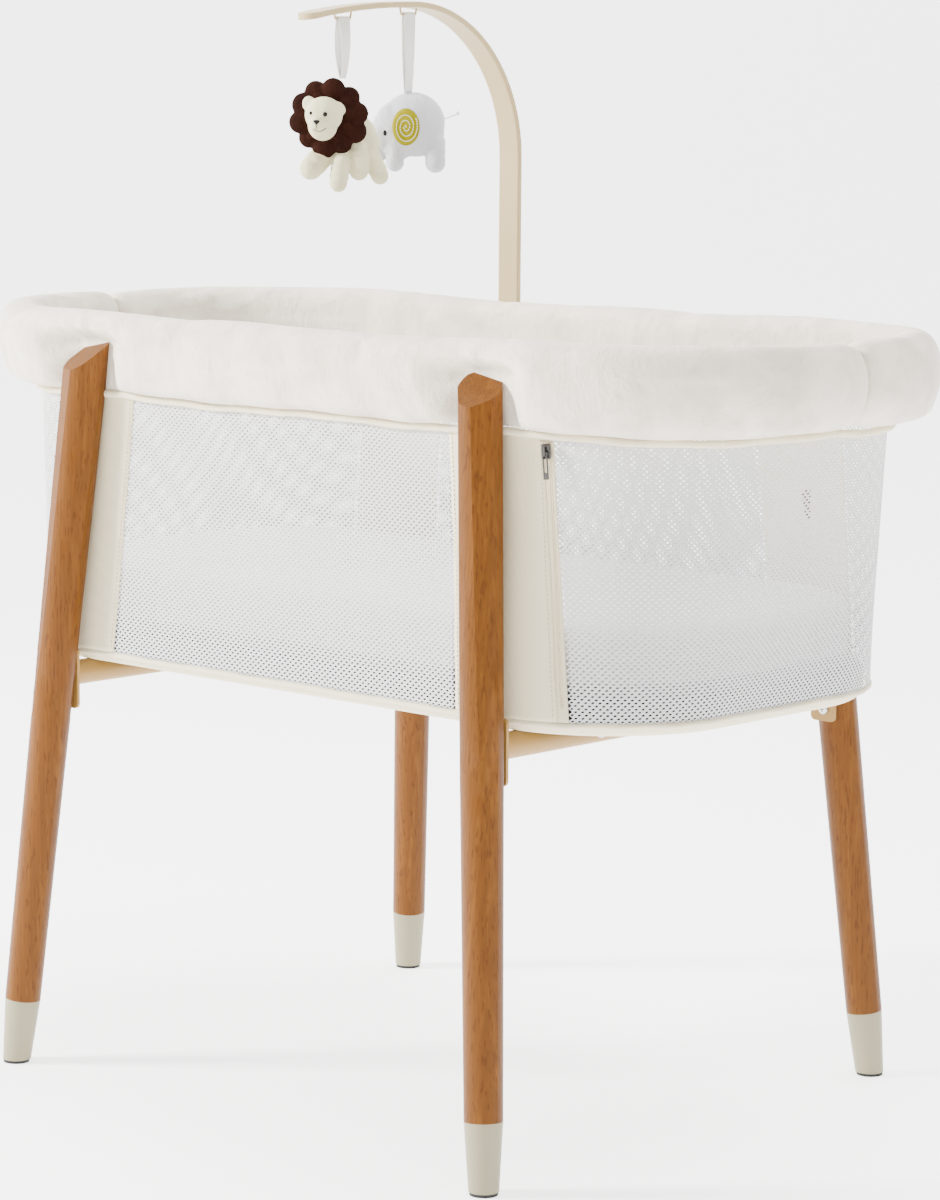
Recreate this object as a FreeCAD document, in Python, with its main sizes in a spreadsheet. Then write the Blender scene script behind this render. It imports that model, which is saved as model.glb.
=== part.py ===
"""Bedside moses basket on four splayed wooden legs, with a toy arm.

Frame: X along the basket's long axis, Y from front to rear, Z up, in millimetres.
The origin is on the floor, under the centre of the basket.
"""
import FreeCAD, Part
import Sketcher
import math
import os

V = FreeCAD.Vector
ORIGIN = V(0, 0, 0)
UP = V(0, 0, 1)

DIMENSIONS = {
    # legs and feet
    "foot_x": 310.0, "foot_y": 273.0, "leg_splay_x": 0.0815, "leg_splay_y": 0.0697,
    "leg_top": 698.0, "leg_radius_low": 17.1, "leg_radius_top": 21.2, "leg_flat_width": 37.8,
    "leg_inner_flat": 214.0, "bevel_slope": 35.0, "bevel_turn": 16.0, "bevel_setback": 13.0,
    "sleeve_height": 63.0, "sleeve_radius_low": 13.3, "sleeve_radius_top": 17.1,
    "tenon_radius": 11.0, "tenon_start": 8.0, "glide_radius": 12.6, "glide_height": 3.0,
    # under-frame
    "cross_tube_x": 279.0, "cross_tube_z": 380.0, "cross_tube_radius": 12.0, "tube_wall": 1.5,
    "plate_face_y": 227.5, "plate_thickness": 3.0, "plate_half_width": 14.0,
    "plate_half_height": 29.5, "plate_middle": 376.5, "plate_corner": 5.0, "screw_low": 359.0, "screw_high": 399.5, "screw_head_radius": 5.4,
    "screw_radius": 2.5, "screw_length": 22.0,
    "stretcher_y": 104.0, "stretcher_radius": 10.0, "bolt_radius": 3.0, "dome_radius": 6.2,
    "rail_half_length": 396.0, "rail_half_width": 204.0, "rail_corner": 128.0,
    "rail_radius": 10.0,
    "board_half_length": 404.0, "board_half_width": 213.0, "board_corner": 134.0,
    "board_thickness": 6.0, "liner_thickness": 2.0,
    # fabric body
    "base_half_length": 410.0, "base_half_width": 220.0, "base_corner": 140.0, "base_z": 405.0,
    "wall_half_length": 456.0, "wall_half_width": 210.0, "wall_corner": 190.0, "hem_z": 652.0,
    "fabric": 2.0, "strip_half_width": 53.0, "zip_width": 9.0,
    "base_piping_radius": 2.6, "collar_piping_radius": 3.4,
    # padded rim
    "rim_half_length": 502.0, "rim_half_width": 238.0, "rim_corner": 212.0,
    "rim_widest_z": 700.0, "rim_top": 729.0, "rim_thickness": 45.0,
    "ring_half_length": 470.0, "ring_half_width": 204.5, "ring_corner": 180.0,
    "ring_z": 686.0, "ring_radius": 8.0, "rim_bolt_length": 24.0,
    "rim_bolt_sink": 1.0,
    # mattress
    "mattress_half_length": 396.0, "mattress_half_width": 191.0, "mattress_corner": 118.0,
    "mattress_thickness": 64.0, "mattress_round": 12.0,
    # zip hardware
    "zip_top": 643.0, "slider_length": 13.0, "slider_width": 8.0, "slider_depth": 4.5,
    "pull_length": 24.0, "pull_width": 5.0, "pull_thickness": 1.6,
    # toy arm
    "arm_x": -165.0, "arm_y": 267.5, "arm_width": 27.0, "arm_thickness": 6.0,
    "arm_foot": 624.0, "arm_bend_z": 868.0, "arm_bend_radius": 151.0,
    "arm_droop_radius": 747.0, "arm_reach": 145.0,
    "socket_low": 612.0, "socket_high": 682.0, "socket_width": 39.0, "socket_depth": 22.0,
    "lug_width": 32.0, "lug_low": 667.0,
    # toys
    "lion_y": 26.0, "elephant_y": 117.0, "hanger_wire": 1.0, "hanger_half_width": 10.0,
    "ribbon_width": 15.0, "ribbon_thickness": 1.0, "lion_ribbon": 51.0, "elephant_ribbon": 75.0,
}
CORNERS = (("front_left", -1, -1), ("front_right", 1, -1), ("rear_left", -1, 1),
           ("rear_right", 1, 1))
SIDES = (("left", -1), ("right", 1))
HALVES = (("front", -1), ("rear", 1))
GAP = 0.3        # clearance between pieces that move against each other
TALL = 900.0     # more than the height of anything that is cut

doc = FreeCAD.newDocument("moses_basket")
sheet = doc.addObject("Spreadsheet::Sheet", "Dimensions")
for row, (alias, number) in enumerate(DIMENSIONS.items(), start=1):
    sheet.set(f"A{row}", alias)
    sheet.set(f"B{row}", str(number))
    sheet.setAlias(f"B{row}", alias)
doc.recompute()

pieces = []


def mm(alias):
    """The value of one driving dimension."""
    return float(sheet.get(alias))


def bind(thing, **expressions):
    """Bind properties to the sheet; a bare name in an expression is a sheet alias."""
    for prop, expression in expressions.items():
        words = []
        for word in expression.split(" "):
            words.append("Dimensions." + word if word in DIMENSIONS else word)
        thing.setExpression(prop, " ".join(words))
    return thing


def piece(thing, label):
    """Keep an object as one sub-part of the basket."""
    thing.Label = label
    pieces.append(thing)
    return thing


def solid_piece(shape, label):
    """A sub-part whose shape is worked out below."""
    thing = doc.addObject("Part::Feature", label)
    thing.Shape = shape
    return piece(thing, label)


def primitive(kind, name, placement=None, **expressions):
    """A Part primitive bound to the sheet."""
    thing = doc.addObject("Part::" + kind, name)
    bind(thing, **expressions)
    if placement:
        thing.Placement = placement
    return thing


def boolean(kind, name, base, tool):
    thing = doc.addObject("Part::" + kind, name)
    thing.Base = base
    thing.Tool = tool
    return thing


def fused(name, things):
    thing = doc.addObject("Part::MultiFuse", name)
    thing.Shapes = things
    return thing


def plane_of(body, role):
    for feature in body.Origin.OriginFeatures:
        if feature.Role == role:
            return feature


def sketch_on(body, role, name, offset=ORIGIN):
    """An empty sketch on one of the body's own origin planes."""
    sketch = body.newObject("Sketcher::SketchObject", name)
    sketch.AttachmentSupport = [(plane_of(body, role), "")]
    sketch.MapMode = "FlatFace"
    sketch.AttachmentOffset = FreeCAD.Placement(offset, FreeCAD.Rotation())
    return sketch


def pad(body, sketch, length, midplane=False):
    feature = body.newObject("PartDesign::Pad", sketch.Name + "_pad")
    feature.Profile = sketch
    if midplane:
        feature.SideType = "Symmetric"
    bind(feature, Length=length)
    doc.recompute()
    return feature


def pocket_through(body, sketch):
    feature = body.newObject("PartDesign::Pocket", sketch.Name + "_pocket")
    feature.Profile = sketch
    feature.Type = "ThroughAll"
    feature.SideType = "Symmetric"
    doc.recompute()
    return feature


def sketch_circle(sketch, radius, x=0.0, y=0.0):
    """A circle on the sketch, its radius bound to the sheet."""
    index = sketch.addGeometry(Part.Circle(V(x, y, 0), UP, 5.0))
    radius_at = sketch.addConstraint(Sketcher.Constraint("Radius", index, 5.0))
    bind(sketch, **{f"Constraints[{radius_at}]": radius})


def sketch_rounded(sketch, half_x, half_y, radius):
    """A rounded rectangle centred on the sketch, all three sizes bound to the sheet."""
    hx, hy, r = mm(half_x), mm(half_y), mm(radius)
    corners = ((hx - r, hy - r, 0), (r - hx, hy - r, 90), (r - hx, r - hy, 180),
               (hx - r, r - hy, 270))
    arcs = []
    for x, y, turn in corners:
        circle = Part.Circle(V(x, y, 0), UP, r)
        arcs.append(sketch.addGeometry(Part.ArcOfCircle(circle, math.radians(turn),
                                                        math.radians(turn + 90))))
    for here, there in zip(arcs, arcs[1:] + arcs[:1]):
        start = sketch.getPoint(here, 2)
        end = sketch.getPoint(there, 1)
        line = sketch.addGeometry(Part.LineSegment(start, end))
        sketch.addConstraint(Sketcher.Constraint("Tangent", here, 2, line, 1))
        sketch.addConstraint(Sketcher.Constraint("Tangent", line, 2, there, 1))
    for arc in arcs[1:]:
        sketch.addConstraint(Sketcher.Constraint("Equal", arcs[0], arc))
    # centres one and three lie across the middle, two and four follow by their tangents
    sketch.addConstraint(Sketcher.Constraint("Symmetric", arcs[0], 3, arcs[2], 3, -1, 1))
    sketch.addConstraint(Sketcher.Constraint("Horizontal", arcs[0], 3, arcs[1], 3))
    across = sketch.addConstraint(Sketcher.Constraint("DistanceX", arcs[1], 3, arcs[0], 3,
                                                      2 * (hx - r)))
    along = sketch.addConstraint(Sketcher.Constraint("DistanceY", arcs[3], 3, arcs[0], 3,
                                                     2 * (hy - r)))
    round_at = sketch.addConstraint(Sketcher.Constraint("Radius", arcs[0], r))
    bind(sketch, **{f"Constraints[{round_at}]": radius,
                    f"Constraints[{across}]": f"2 * ( {half_x} - {radius} )",
                    f"Constraints[{along}]": f"2 * ( {half_y} - {radius} )"})





def loop_edges(half_x, half_y, radius, z):
    """Edges of a rounded rectangle about the Z axis, from its +X side round to -X and back."""
    cx = half_x - radius
    cy = half_y - radius
    slant = radius * math.sqrt(0.5)
    edges = []
    for sx, sy in ((1, 1), (-1, 1), (-1, -1), (1, -1)):
        near_x = V(sx * half_x, sy * cy, z)
        near_y = V(sx * cx, sy * half_y, z)
        middle = V(sx * (cx + slant), sy * (cy + slant), z)
        first, last = (near_x, near_y) if sx * sy > 0 else (near_y, near_x)
        start = V(half_x, -cy, z) if not edges else edges[-1].lastVertex().Point
        if edges or cy > 0:
            edges.append(Part.LineSegment(start, first).toShape())
        edges.append(Part.Arc(first, middle, last).toShape())
    return edges


def loop(half_x, half_y, radius, z):
    edges = loop_edges(half_x, half_y, radius, z)
    # close the loop with the last straight run back to the +X side
    end = edges[-1].lastVertex().Point
    start = edges[0].firstVertex().Point
    if end.distanceToPoint(start) > 0.001:
        edges.append(Part.LineSegment(end, start).toShape())
    return Part.Wire(edges)


def stack(sections):
    """A solid through rounded rectangles, each given as half x, half y, corner, height."""
    return Part.makeLoft([loop(*section) for section in sections], True, True)


def half_path(half_x, half_y, radius, z, side):
    """The half of a rounded rectangle on the front (side -1) or the rear (side 1)."""
    cx = half_x - radius
    cy = half_y - radius
    slant = radius * math.sqrt(0.5)
    points = []
    for sx in (1, -1):
        points.append((V(sx * half_x, side * cy, z),
                       V(sx * (cx + slant), side * (cy + slant), z),
                       V(sx * cx, side * half_y, z)))
    first, second = points
    return Part.Wire([
        Part.LineSegment(V(half_x, 0, z), first[0]).toShape(),
        Part.Arc(*first).toShape(),
        Part.LineSegment(first[2], second[2]).toShape(),
        Part.Arc(*reversed(second)).toShape(),
        Part.LineSegment(second[0], V(-half_x, 0, z)).toShape()])


def bow_path(half_x, half_y, radius, z, side):
    """The end of a rounded rectangle on the left (side -1) or the right (side 1)."""
    cx = half_x - radius
    cy = half_y - radius
    slant = radius * math.sqrt(0.5)
    return Part.Wire([
        Part.Arc(V(side * cx, -half_y, z), V(side * (cx + slant), -cy - slant, z),
                 V(side * half_x, -cy, z)).toShape(),
        Part.LineSegment(V(side * half_x, -cy, z), V(side * half_x, cy, z)).toShape(),
        Part.Arc(V(side * half_x, cy, z), V(side * (cx + slant), cy + slant, z),
                 V(side * cx, half_y, z)).toShape()])


def rod_along(path, radius):
    """A round bar along a path."""
    edge = path.Edges[0]
    start = edge.valueAt(edge.FirstParameter)
    heading = edge.tangentAt(edge.FirstParameter)
    ring = Part.Wire([Part.makeCircle(radius, start, heading)])
    return path.makePipeShell([ring], True, False)


def tube_along(path, radius, wall):
    """A hollow tube along a path."""
    return rod_along(path, radius).cut(rod_along(path, radius - wall))


def slab_between(low_left, low_right, high_left, high_right, low, high):
    """A slab right through the basket along Y, its two sides slanted in the XZ plane."""
    corners = [V(low_left, -TALL, low), V(low_right, -TALL, low),
               V(high_right, -TALL, high), V(high_left, -TALL, high)]
    face = Part.Face(Part.makePolygon(corners + corners[:1]))
    return face.extrude(V(0, 2 * TALL, 0))


def leg_x(z):
    return mm("foot_x") - mm("leg_splay_x") * z


def leg_y(z):
    return mm("foot_y") - mm("leg_splay_y") * z


def leg_placement(sx, sy):
    """From upright at the origin to one leg's foot and slope."""
    slope = V(-sx * mm("leg_splay_x"), -sy * mm("leg_splay_y"), 1)
    return FreeCAD.Placement(V(sx * mm("foot_x"), sy * mm("foot_y"), 0),
                             FreeCAD.Rotation(UP, slope))


def build_leg(name, sx, sy):
    """A tapered leg, squared lightly towards its top, with a bevelled end and a tenon."""
    lean = leg_placement(sx, sy)
    start = lean.multiply(FreeCAD.Placement(V(0, 0, mm("sleeve_height")), FreeCAD.Rotation()))
    cone = primitive("Cone", name + "_taper", start, Radius1="leg_radius_low",
                     Radius2="leg_radius_top", Height="leg_top - sleeve_height + 8")
    turned = FreeCAD.Placement(ORIGIN, FreeCAD.Rotation(UP, 45.0 if sx > 0 else 70.0))
    half = mm("leg_flat_width") / 2
    corner = FreeCAD.Placement(V(-half, -half, 0), FreeCAD.Rotation())
    square = primitive("Box", name + "_square", start.multiply(turned).multiply(corner),
                       Length="leg_flat_width", Width="leg_flat_width", Height="leg_top")
    shaft = boolean("Common", name + "_shaft", cone, square)
    foot = lean.multiply(FreeCAD.Placement(V(0, 0, mm("tenon_start")), FreeCAD.Rotation()))
    tenon = primitive("Cylinder", name + "_tenon", foot, Radius="tenon_radius",
                      Height="sleeve_height - tenon_start + 1")
    blank = fused(name + "_blank", [shaft, tenon])

    # the bevel falls away outwards from a level edge on the inner side
    facing = math.radians(sx * mm("bevel_turn"))
    outward = V(math.sin(facing), sy * math.cos(facing), 0)
    slope = math.radians(mm("bevel_slope"))
    normal = outward * math.sin(slope) + UP * math.cos(slope)
    edge = V(sx * leg_x(mm("leg_top")), sy * leg_y(mm("leg_top")), mm("leg_top"))
    edge = edge - outward * mm("bevel_setback")
    spin = FreeCAD.Rotation(UP, normal)
    middle = edge + spin.multVec(V(-mm("sleeve_height"), -mm("sleeve_height"), 0))
    bevel = primitive("Box", name + "_bevel", FreeCAD.Placement(middle, spin),
                      Length="2 * sleeve_height", Width="2 * sleeve_height",
                      Height="sleeve_height")

    # the flat that bears on the rim, and the recess that the tube's end plate lies in
    side = 4 * mm("leg_flat_width")
    at_x = sx * mm("cross_tube_x") - side / 2
    flat_y = 0.0 if sy > 0 else -mm("leg_inner_flat")
    flat = primitive("Box", name + "_flat",
                     FreeCAD.Placement(V(at_x, flat_y, mm("base_z")), FreeCAD.Rotation()),
                     Length="4 * leg_flat_width", Width="leg_inner_flat", Height="leg_top")
    plate_back = mm("plate_face_y") + mm("plate_thickness")
    plate_low = mm("plate_middle") - mm("plate_half_height")
    recess_y = 0.0 if sy > 0 else -plate_back
    recess = primitive("Box", name + "_recess",
                       FreeCAD.Placement(V(at_x, recess_y, plate_low),
                                         FreeCAD.Rotation()),
                       Length="4 * leg_flat_width", Width="plate_face_y + plate_thickness",
                       Height="2 * plate_half_height")
    holes = [leg_screw_hole(name, sx, sy, height) for height in ("screw_low", "screw_high")]
    holes.append(rim_bolt_hole(name, sx, sy))
    cutters = fused(name + "_cutters", [bevel, flat, recess] + holes)
    return piece(boolean("Cut", name + "_leg", blank, cutters), "leg_" + name)


def along_y(x, y, z, heading):
    """A placement whose Z axis points along +Y or -Y."""
    return FreeCAD.Placement(V(x, y, z), FreeCAD.Rotation(UP, V(0, heading, 0)))


def leg_screw_hole(name, sx, sy, height):
    place = along_y(sx * leg_x(mm(height)), sy * mm("plate_face_y"), mm(height), sy)
    return primitive("Cylinder", name + "_" + height, place, Radius="screw_radius",
                     Height="screw_length")


def rim_bolt_place(sx, sy):
    inner = mm("ring_half_width") - mm("ring_radius")
    return along_y(sx * leg_x(mm("ring_z")), sy * (inner + mm("rim_bolt_sink")), mm("ring_z"), sy)


def rim_bolt_hole(name, sx, sy):
    return primitive("Cylinder", name + "_rim_bolt", rim_bolt_place(sx, sy),
                     Radius="bolt_radius", Height="rim_bolt_length")


def build_sleeve(name, sx, sy):
    """The tapered plastic foot sleeve round the tenon, cut level at its foot."""
    lean = leg_placement(sx, sy)
    taper = primitive("Cone", name + "_sleeve_taper", lean, Radius1="sleeve_radius_low",
                      Radius2="sleeve_radius_top", Height="sleeve_height")
    bore_start = lean.multiply(FreeCAD.Placement(V(0, 0, mm("tenon_start")),
                                                 FreeCAD.Rotation()))
    bore = primitive("Cylinder", name + "_sleeve_bore", bore_start, Radius="tenon_radius",
                     Height="sleeve_height")
    side = 4 * mm("sleeve_radius_top")
    floor_at = V(sx * mm("foot_x") - side / 2, sy * mm("foot_y") - side / 2,
                 mm("glide_height") - mm("sleeve_height"))
    level = primitive("Box", name + "_sleeve_level",
                      FreeCAD.Placement(floor_at, FreeCAD.Rotation()),
                      Length="4 * sleeve_radius_top", Width="4 * sleeve_radius_top",
                      Height="sleeve_height")
    cutters = fused(name + "_sleeve_cutters", [bore, level])
    return piece(boolean("Cut", name + "_sleeve", taper, cutters), "foot_sleeve_" + name)


def build_glide(name, sx, sy):
    """The dark disc that the sleeve stands on."""
    body = doc.addObject("PartDesign::Body", "glide_" + name)
    outline = sketch_on(body, "XY_Plane", "glide_outline_" + name)
    sketch_circle(outline, "glide_radius")
    pad(body, outline, "glide_height")
    body.Placement = FreeCAD.Placement(V(sx * mm("foot_x"), sy * mm("foot_y"), 0),
                                       FreeCAD.Rotation())
    return piece(body, "foot_glide_" + name)


def build_plate(name, sx, sy):
    """The flat end plate of a cross tube, with its two screw holes."""
    body = doc.addObject("PartDesign::Body", "plate_" + name)
    outline = sketch_on(body, "XZ_Plane", "plate_outline_" + name)
    sketch_rounded(outline, "plate_half_width", "plate_half_height", "plate_corner")
    pad(body, outline, "plate_thickness", midplane=True)
    middle = mm("plate_middle")
    holes = sketch_on(body, "XZ_Plane", "plate_holes_" + name)
    for height in ("screw_low", "screw_high"):
        x = sx * (leg_x(mm(height)) - mm("cross_tube_x"))
        sketch_circle(holes, "screw_radius", x, mm(height) - middle)
    pocket_through(body, holes)
    y = sy * (mm("plate_face_y") + mm("plate_thickness") / 2)
    body.Placement = FreeCAD.Placement(V(sx * mm("cross_tube_x"), y, middle),
                                       FreeCAD.Rotation())
    return piece(body, "leg_bracket_" + name)


def pan_head_screw(place, head_radius, head_height, shank_radius, shank_length):
    """A screw along the placement's Z axis, its head before the origin, with a cross recess."""
    shank = Part.makeCylinder(shank_radius, shank_length)
    head = Part.makeCylinder(head_radius, head_height, V(0, 0, -head_height))
    head = head.makeFillet(head_height * 0.6, [head.Edges[i] for i in top_edges(head, -head_height)])
    slot = Part.makeBox(head_radius * 1.1, head_radius * 0.28, head_height * 0.6,
                        V(-head_radius * 0.55, -head_radius * 0.14, -head_height))
    cross = slot.fuse(slot.copy().rotate(ORIGIN, UP, 90))
    screw = shank.fuse(head).cut(cross).removeSplitter()
    screw.Placement = place
    return screw


def top_edges(shape, z):
    """Indices of the circular edges at one height."""
    found = []
    for index, edge in enumerate(shape.Edges):
        if edge.Closed and abs(edge.CenterOfMass.z - z) < 0.001:
            found.append(index)
    return found


def build_bracket_screws():
    """Eight pan-head screws through the end plates into the legs."""
    screws = []
    for _name, sx, sy in CORNERS:
        for height in ("screw_low", "screw_high"):
            place = along_y(sx * leg_x(mm(height)), sy * mm("plate_face_y"), mm(height), sy)
            screws.append(pan_head_screw(place, mm("screw_head_radius"), 3.2,
                                         mm("screw_radius"), mm("screw_length")))
    solid_piece(Part.makeCompound(screws), "bracket_screws")


def tube_x_hole(sx, sy):
    """The bolt hole through a cross tube at the end of a stretcher."""
    start = V(sx * (mm("cross_tube_x") + 2 * mm("cross_tube_radius")), sy * mm("stretcher_y"),
              mm("cross_tube_z"))
    return Part.makeCylinder(mm("bolt_radius"), 4 * mm("cross_tube_radius"), start,
                             V(-sx, 0, 0))


def build_cross_tube(name, sx):
    """A steel tube from the front leg's plate to the rear leg's plate."""
    length = 2 * mm("plate_face_y")
    place = along_y(sx * mm("cross_tube_x"), -length / 2, mm("cross_tube_z"), 1)
    outside = primitive("Cylinder", name + "_tube_outside", place, Radius="cross_tube_radius",
                        Height="2 * plate_face_y")
    bore = primitive("Cylinder", name + "_tube_bore", place,
                     Radius="cross_tube_radius - tube_wall", Height="2 * plate_face_y")
    cutters = [bore]
    for half, sy in HALVES:
        start = V(sx * (mm("cross_tube_x") + 2 * mm("cross_tube_radius")),
                  sy * mm("stretcher_y"), mm("cross_tube_z"))
        hole = primitive("Cylinder", f"{name}_{half}_hole",
                         FreeCAD.Placement(start, FreeCAD.Rotation(UP, V(-sx, 0, 0))),
                         Radius="bolt_radius", Height="4 * cross_tube_radius")
        cutters.append(hole)
    tools = fused(name + "_tube_tools", cutters)
    return piece(boolean("Cut", name + "_cross_tube", outside, tools), "cross_tube_" + name)


def build_stretchers():
    """Two round tubes between the cross tubes, their bolts and the plugs that take them."""
    reach = mm("cross_tube_x")
    radius = mm("stretcher_radius")
    wall = mm("tube_wall")
    hub = mm("cross_tube_z")
    outer = mm("cross_tube_radius")
    bolts = []
    plugs = []
    for half, sy in HALVES:
        y = sy * mm("stretcher_y")
        tube = Part.makeCylinder(radius, 2 * reach, V(-reach, y, hub), V(1, 0, 0))
        tube = tube.cut(Part.makeCylinder(radius - wall, 2 * reach, V(-reach, y, hub),
                                          V(1, 0, 0)))
        for _side, sx in SIDES:
            tube = tube.cut(Part.makeCylinder(outer, TALL, V(sx * reach, -TALL / 2, hub),
                                              V(0, 1, 0)))
            head_at = V(sx * (reach + outer), y, hub)
            shank = Part.makeCylinder(mm("bolt_radius"), 2 * outer + 18, head_at,
                                      V(-sx, 0, 0))
            dome = Part.makeSphere(mm("dome_radius"), ORIGIN, UP, 0, 90)
            dome.Placement = FreeCAD.Placement(head_at - V(sx * 1.6, 0, 0),
                                               FreeCAD.Rotation(UP, V(sx, 0, 0)))
            seat = Part.makeCylinder(outer, 30, V(sx * reach, y - 15, hub), V(0, 1, 0))
            bolts.append(shank.fuse(dome.cut(seat)).removeSplitter())
            plug = Part.makeCylinder(radius - wall, 14, V(sx * (reach - outer - 4), y, hub),
                                     V(-sx, 0, 0))
            plugs.append(plug.cut(shank))
        solid_piece(tube, "stretcher_" + half)
    solid_piece(Part.makeCompound(bolts), "stretcher_bolts")
    solid_piece(Part.makeCompound(plugs), "stretcher_plugs")


def rail_z():
    """Height of the base ring's centreline, on top of the cross tubes."""
    return mm("cross_tube_z") + mm("cross_tube_radius") + mm("rail_radius")


def build_base_ring():
    """The base ring: two straight rails and two bows with butted ends."""
    half_x, half_y = mm("rail_half_length"), mm("rail_half_width")
    corner, radius, wall = mm("rail_corner"), mm("rail_radius"), mm("tube_wall")
    z = rail_z()
    length = 2 * (half_x - corner)
    for half, side in HALVES:
        place = FreeCAD.Placement(V(-length / 2, side * half_y, z),
                                  FreeCAD.Rotation(UP, V(1, 0, 0)))
        run = "2 * ( rail_half_length - rail_corner )"
        outside = primitive("Cylinder", half + "_rail_outside", place, Radius="rail_radius",
                            Height=run)
        bore = primitive("Cylinder", half + "_rail_bore", place,
                         Radius="rail_radius - tube_wall", Height=run)
        piece(boolean("Cut", half + "_rail", outside, bore), "base_rail_" + half)
    for name, side in SIDES:
        path = bow_path(half_x, half_y, corner, z, side)
        solid_piece(tube_along(path, radius, wall), "base_bow_" + name)


def board_z():
    return rail_z() + mm("rail_radius")


def flat_body(label, half_x, half_y, corner, thickness, z):
    """A flat rounded slab as a padded sketch."""
    body = doc.addObject("PartDesign::Body", label)
    outline = sketch_on(body, "XY_Plane", label + "_outline")
    sketch_rounded(outline, half_x, half_y, corner)
    pad(body, outline, thickness)
    body.Placement = FreeCAD.Placement(V(0, 0, z), FreeCAD.Rotation())
    return body


def build_floor():
    """The base board, its fabric liner and the mattress."""
    piece(flat_body("base_board", "board_half_length", "board_half_width", "board_corner",
                    "board_thickness", board_z()), "base_board")
    liner_z = board_z() + mm("board_thickness")
    piece(flat_body("base_liner", "board_half_length", "board_half_width", "board_corner",
                    "liner_thickness", liner_z), "base_liner")
    body = flat_body("mattress", "mattress_half_length", "mattress_half_width",
                     "mattress_corner", "mattress_thickness",
                     liner_z + mm("liner_thickness") + GAP)
    top = body.Tip
    rounding = body.newObject("PartDesign::Fillet", "mattress_rounding")
    names = []
    for index, edge in enumerate(top.Shape.Edges, start=1):
        box = edge.BoundBox
        if box.ZLength < 0.01:
            names.append(f"Edge{index}")
    rounding.Base = (top, names)
    bind(rounding, Radius="mattress_round")
    doc.recompute()
    piece(body, "mattress")


def wall_shell():
    """The fabric wall: a sheet from the base line up to the collar's hem."""
    top = mm("hem_z") - GAP
    skin = mm("fabric")
    low = (mm("base_half_length"), mm("base_half_width"), mm("base_corner"), mm("base_z"))
    high = (mm("wall_half_length"), mm("wall_half_width"), mm("wall_corner"), top)
    inner = [(a - skin, b - skin, r - skin, z) for a, b, r, z in (low, high)]
    return stack([low, high]).cut(stack(inner))


def build_wall():
    """Net panels, the fabric strips behind the legs, and the zip's tape."""
    shell = wall_shell()
    low, high = mm("base_z") - 1, mm("hem_z") + 1
    half = mm("strip_half_width")
    far = TALL

    def band(sx, near, away):
        """A slab that follows the legs of one side, between two offsets from their line."""
        bottom = sorted((sx * (leg_x(low) + near), sx * (leg_x(low) + away)))
        top = sorted((sx * (leg_x(high) + near), sx * (leg_x(high) + away)))
        return slab_between(bottom[0], bottom[1], top[0], top[1], low, high)

    def half_space(side):
        return Part.makeBox(2 * far, far, far, V(-far, 0 if side > 0 else -far, 0))

    middle = slab_between(-leg_x(low) + half, leg_x(low) - half, -leg_x(high) + half,
                          leg_x(high) - half, low, high)
    for name, side in HALVES:
        solid_piece(shell.common(middle).common(half_space(side)), "mesh_panel_" + name)
    tape_band = band(1, half, half + mm("zip_width")).common(half_space(-1))
    for name, side in SIDES:
        end = shell.common(band(side, half, far))
        if side > 0:
            end = end.cut(tape_band)
        solid_piece(end, f"mesh_panel_{name}")
    for name, sx, sy in CORNERS:
        strip = shell.common(band(sx, -half, half)).common(half_space(sy))
        solid_piece(strip, "leg_strip_" + name)
    solid_piece(shell.common(tape_band), "zip_tape")


def rim_sections():
    """Outer sections of the padded rim, from its hem to its crest."""
    a, b, r = mm("rim_half_length"), mm("rim_half_width"), mm("rim_corner")
    hem, widest, crest = mm("hem_z"), mm("rim_widest_z"), mm("rim_top")
    return [(mm("wall_half_length") + 7, mm("wall_half_width") + 7, mm("wall_corner") + 7, hem),
            (a - 11, b - 6, r - 8, (hem + widest) / 2 - 2), (a, b, r, widest),
            (a - 6, b - 6, r - 6, crest - 12), (a - 20, b - 20, r - 20, crest)]


def build_rim(legs):
    """The ring tube in two halves, its bolts into the legs, and the two padded collars."""
    a, b, r = mm("ring_half_length"), mm("ring_half_width"), mm("ring_corner")
    z, radius = mm("ring_z"), mm("ring_radius")
    thick = mm("rim_thickness")
    outer = stack(rim_sections())
    inside = [(mm("rim_half_length") - thick, mm("rim_half_width") - thick,
               mm("rim_corner") - thick, height) for height in (mm("hem_z") - 1,
                                                                 mm("rim_top") - 12)]
    inside.append((mm("rim_half_length") - thick + 8, mm("rim_half_width") - thick + 8,
                   mm("rim_corner") - thick + 8, mm("rim_top") + 1))
    padding = outer.cut(stack(inside))
    bolts = []
    for _name, sx, sy in CORNERS:
        bolts.append(pan_head_screw(rim_bolt_place(sx, sy), 5.0, 2.6, mm("bolt_radius"),
                                    mm("rim_bolt_length")))
    bolt_set = Part.makeCompound(bolts)
    for name, side in HALVES:
        path = half_path(a, b, r, z, side)
        tube = tube_along(path, radius, mm("tube_wall"))
        for bolt in bolts:
            tube = tube.cut(bolt)
        solid_piece(tube, "ring_tube_" + name)
        box = Part.makeBox(2 * TALL, TALL, TALL, V(-TALL, 0 if side > 0 else -TALL, 0))
        collar = padding.common(box).cut(rod_along(path, radius))
        for leg in legs:
            collar = collar.cut(leg.Shape)
        for bolt in bolts:
            collar = collar.cut(bolt)
        if side > 0:
            collar = collar.cut(lug_channel())
        solid_piece(collar, "collar_" + name)
    solid_piece(bolt_set, "ring_bolts")


def lug_channel():
    """The way through the rear collar for the socket's lug and its screw heads."""
    wide = mm("lug_width") + 2 * GAP
    low = mm("lug_low") - 3.0
    high = mm("ring_z") - mm("ring_radius") + 1.0
    inner = mm("ring_half_width") - mm("ring_radius") - GAP
    return Part.makeBox(wide, mm("arm_y") - inner, high - low,
                        V(mm("arm_x") - wide / 2, inner, low))


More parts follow.
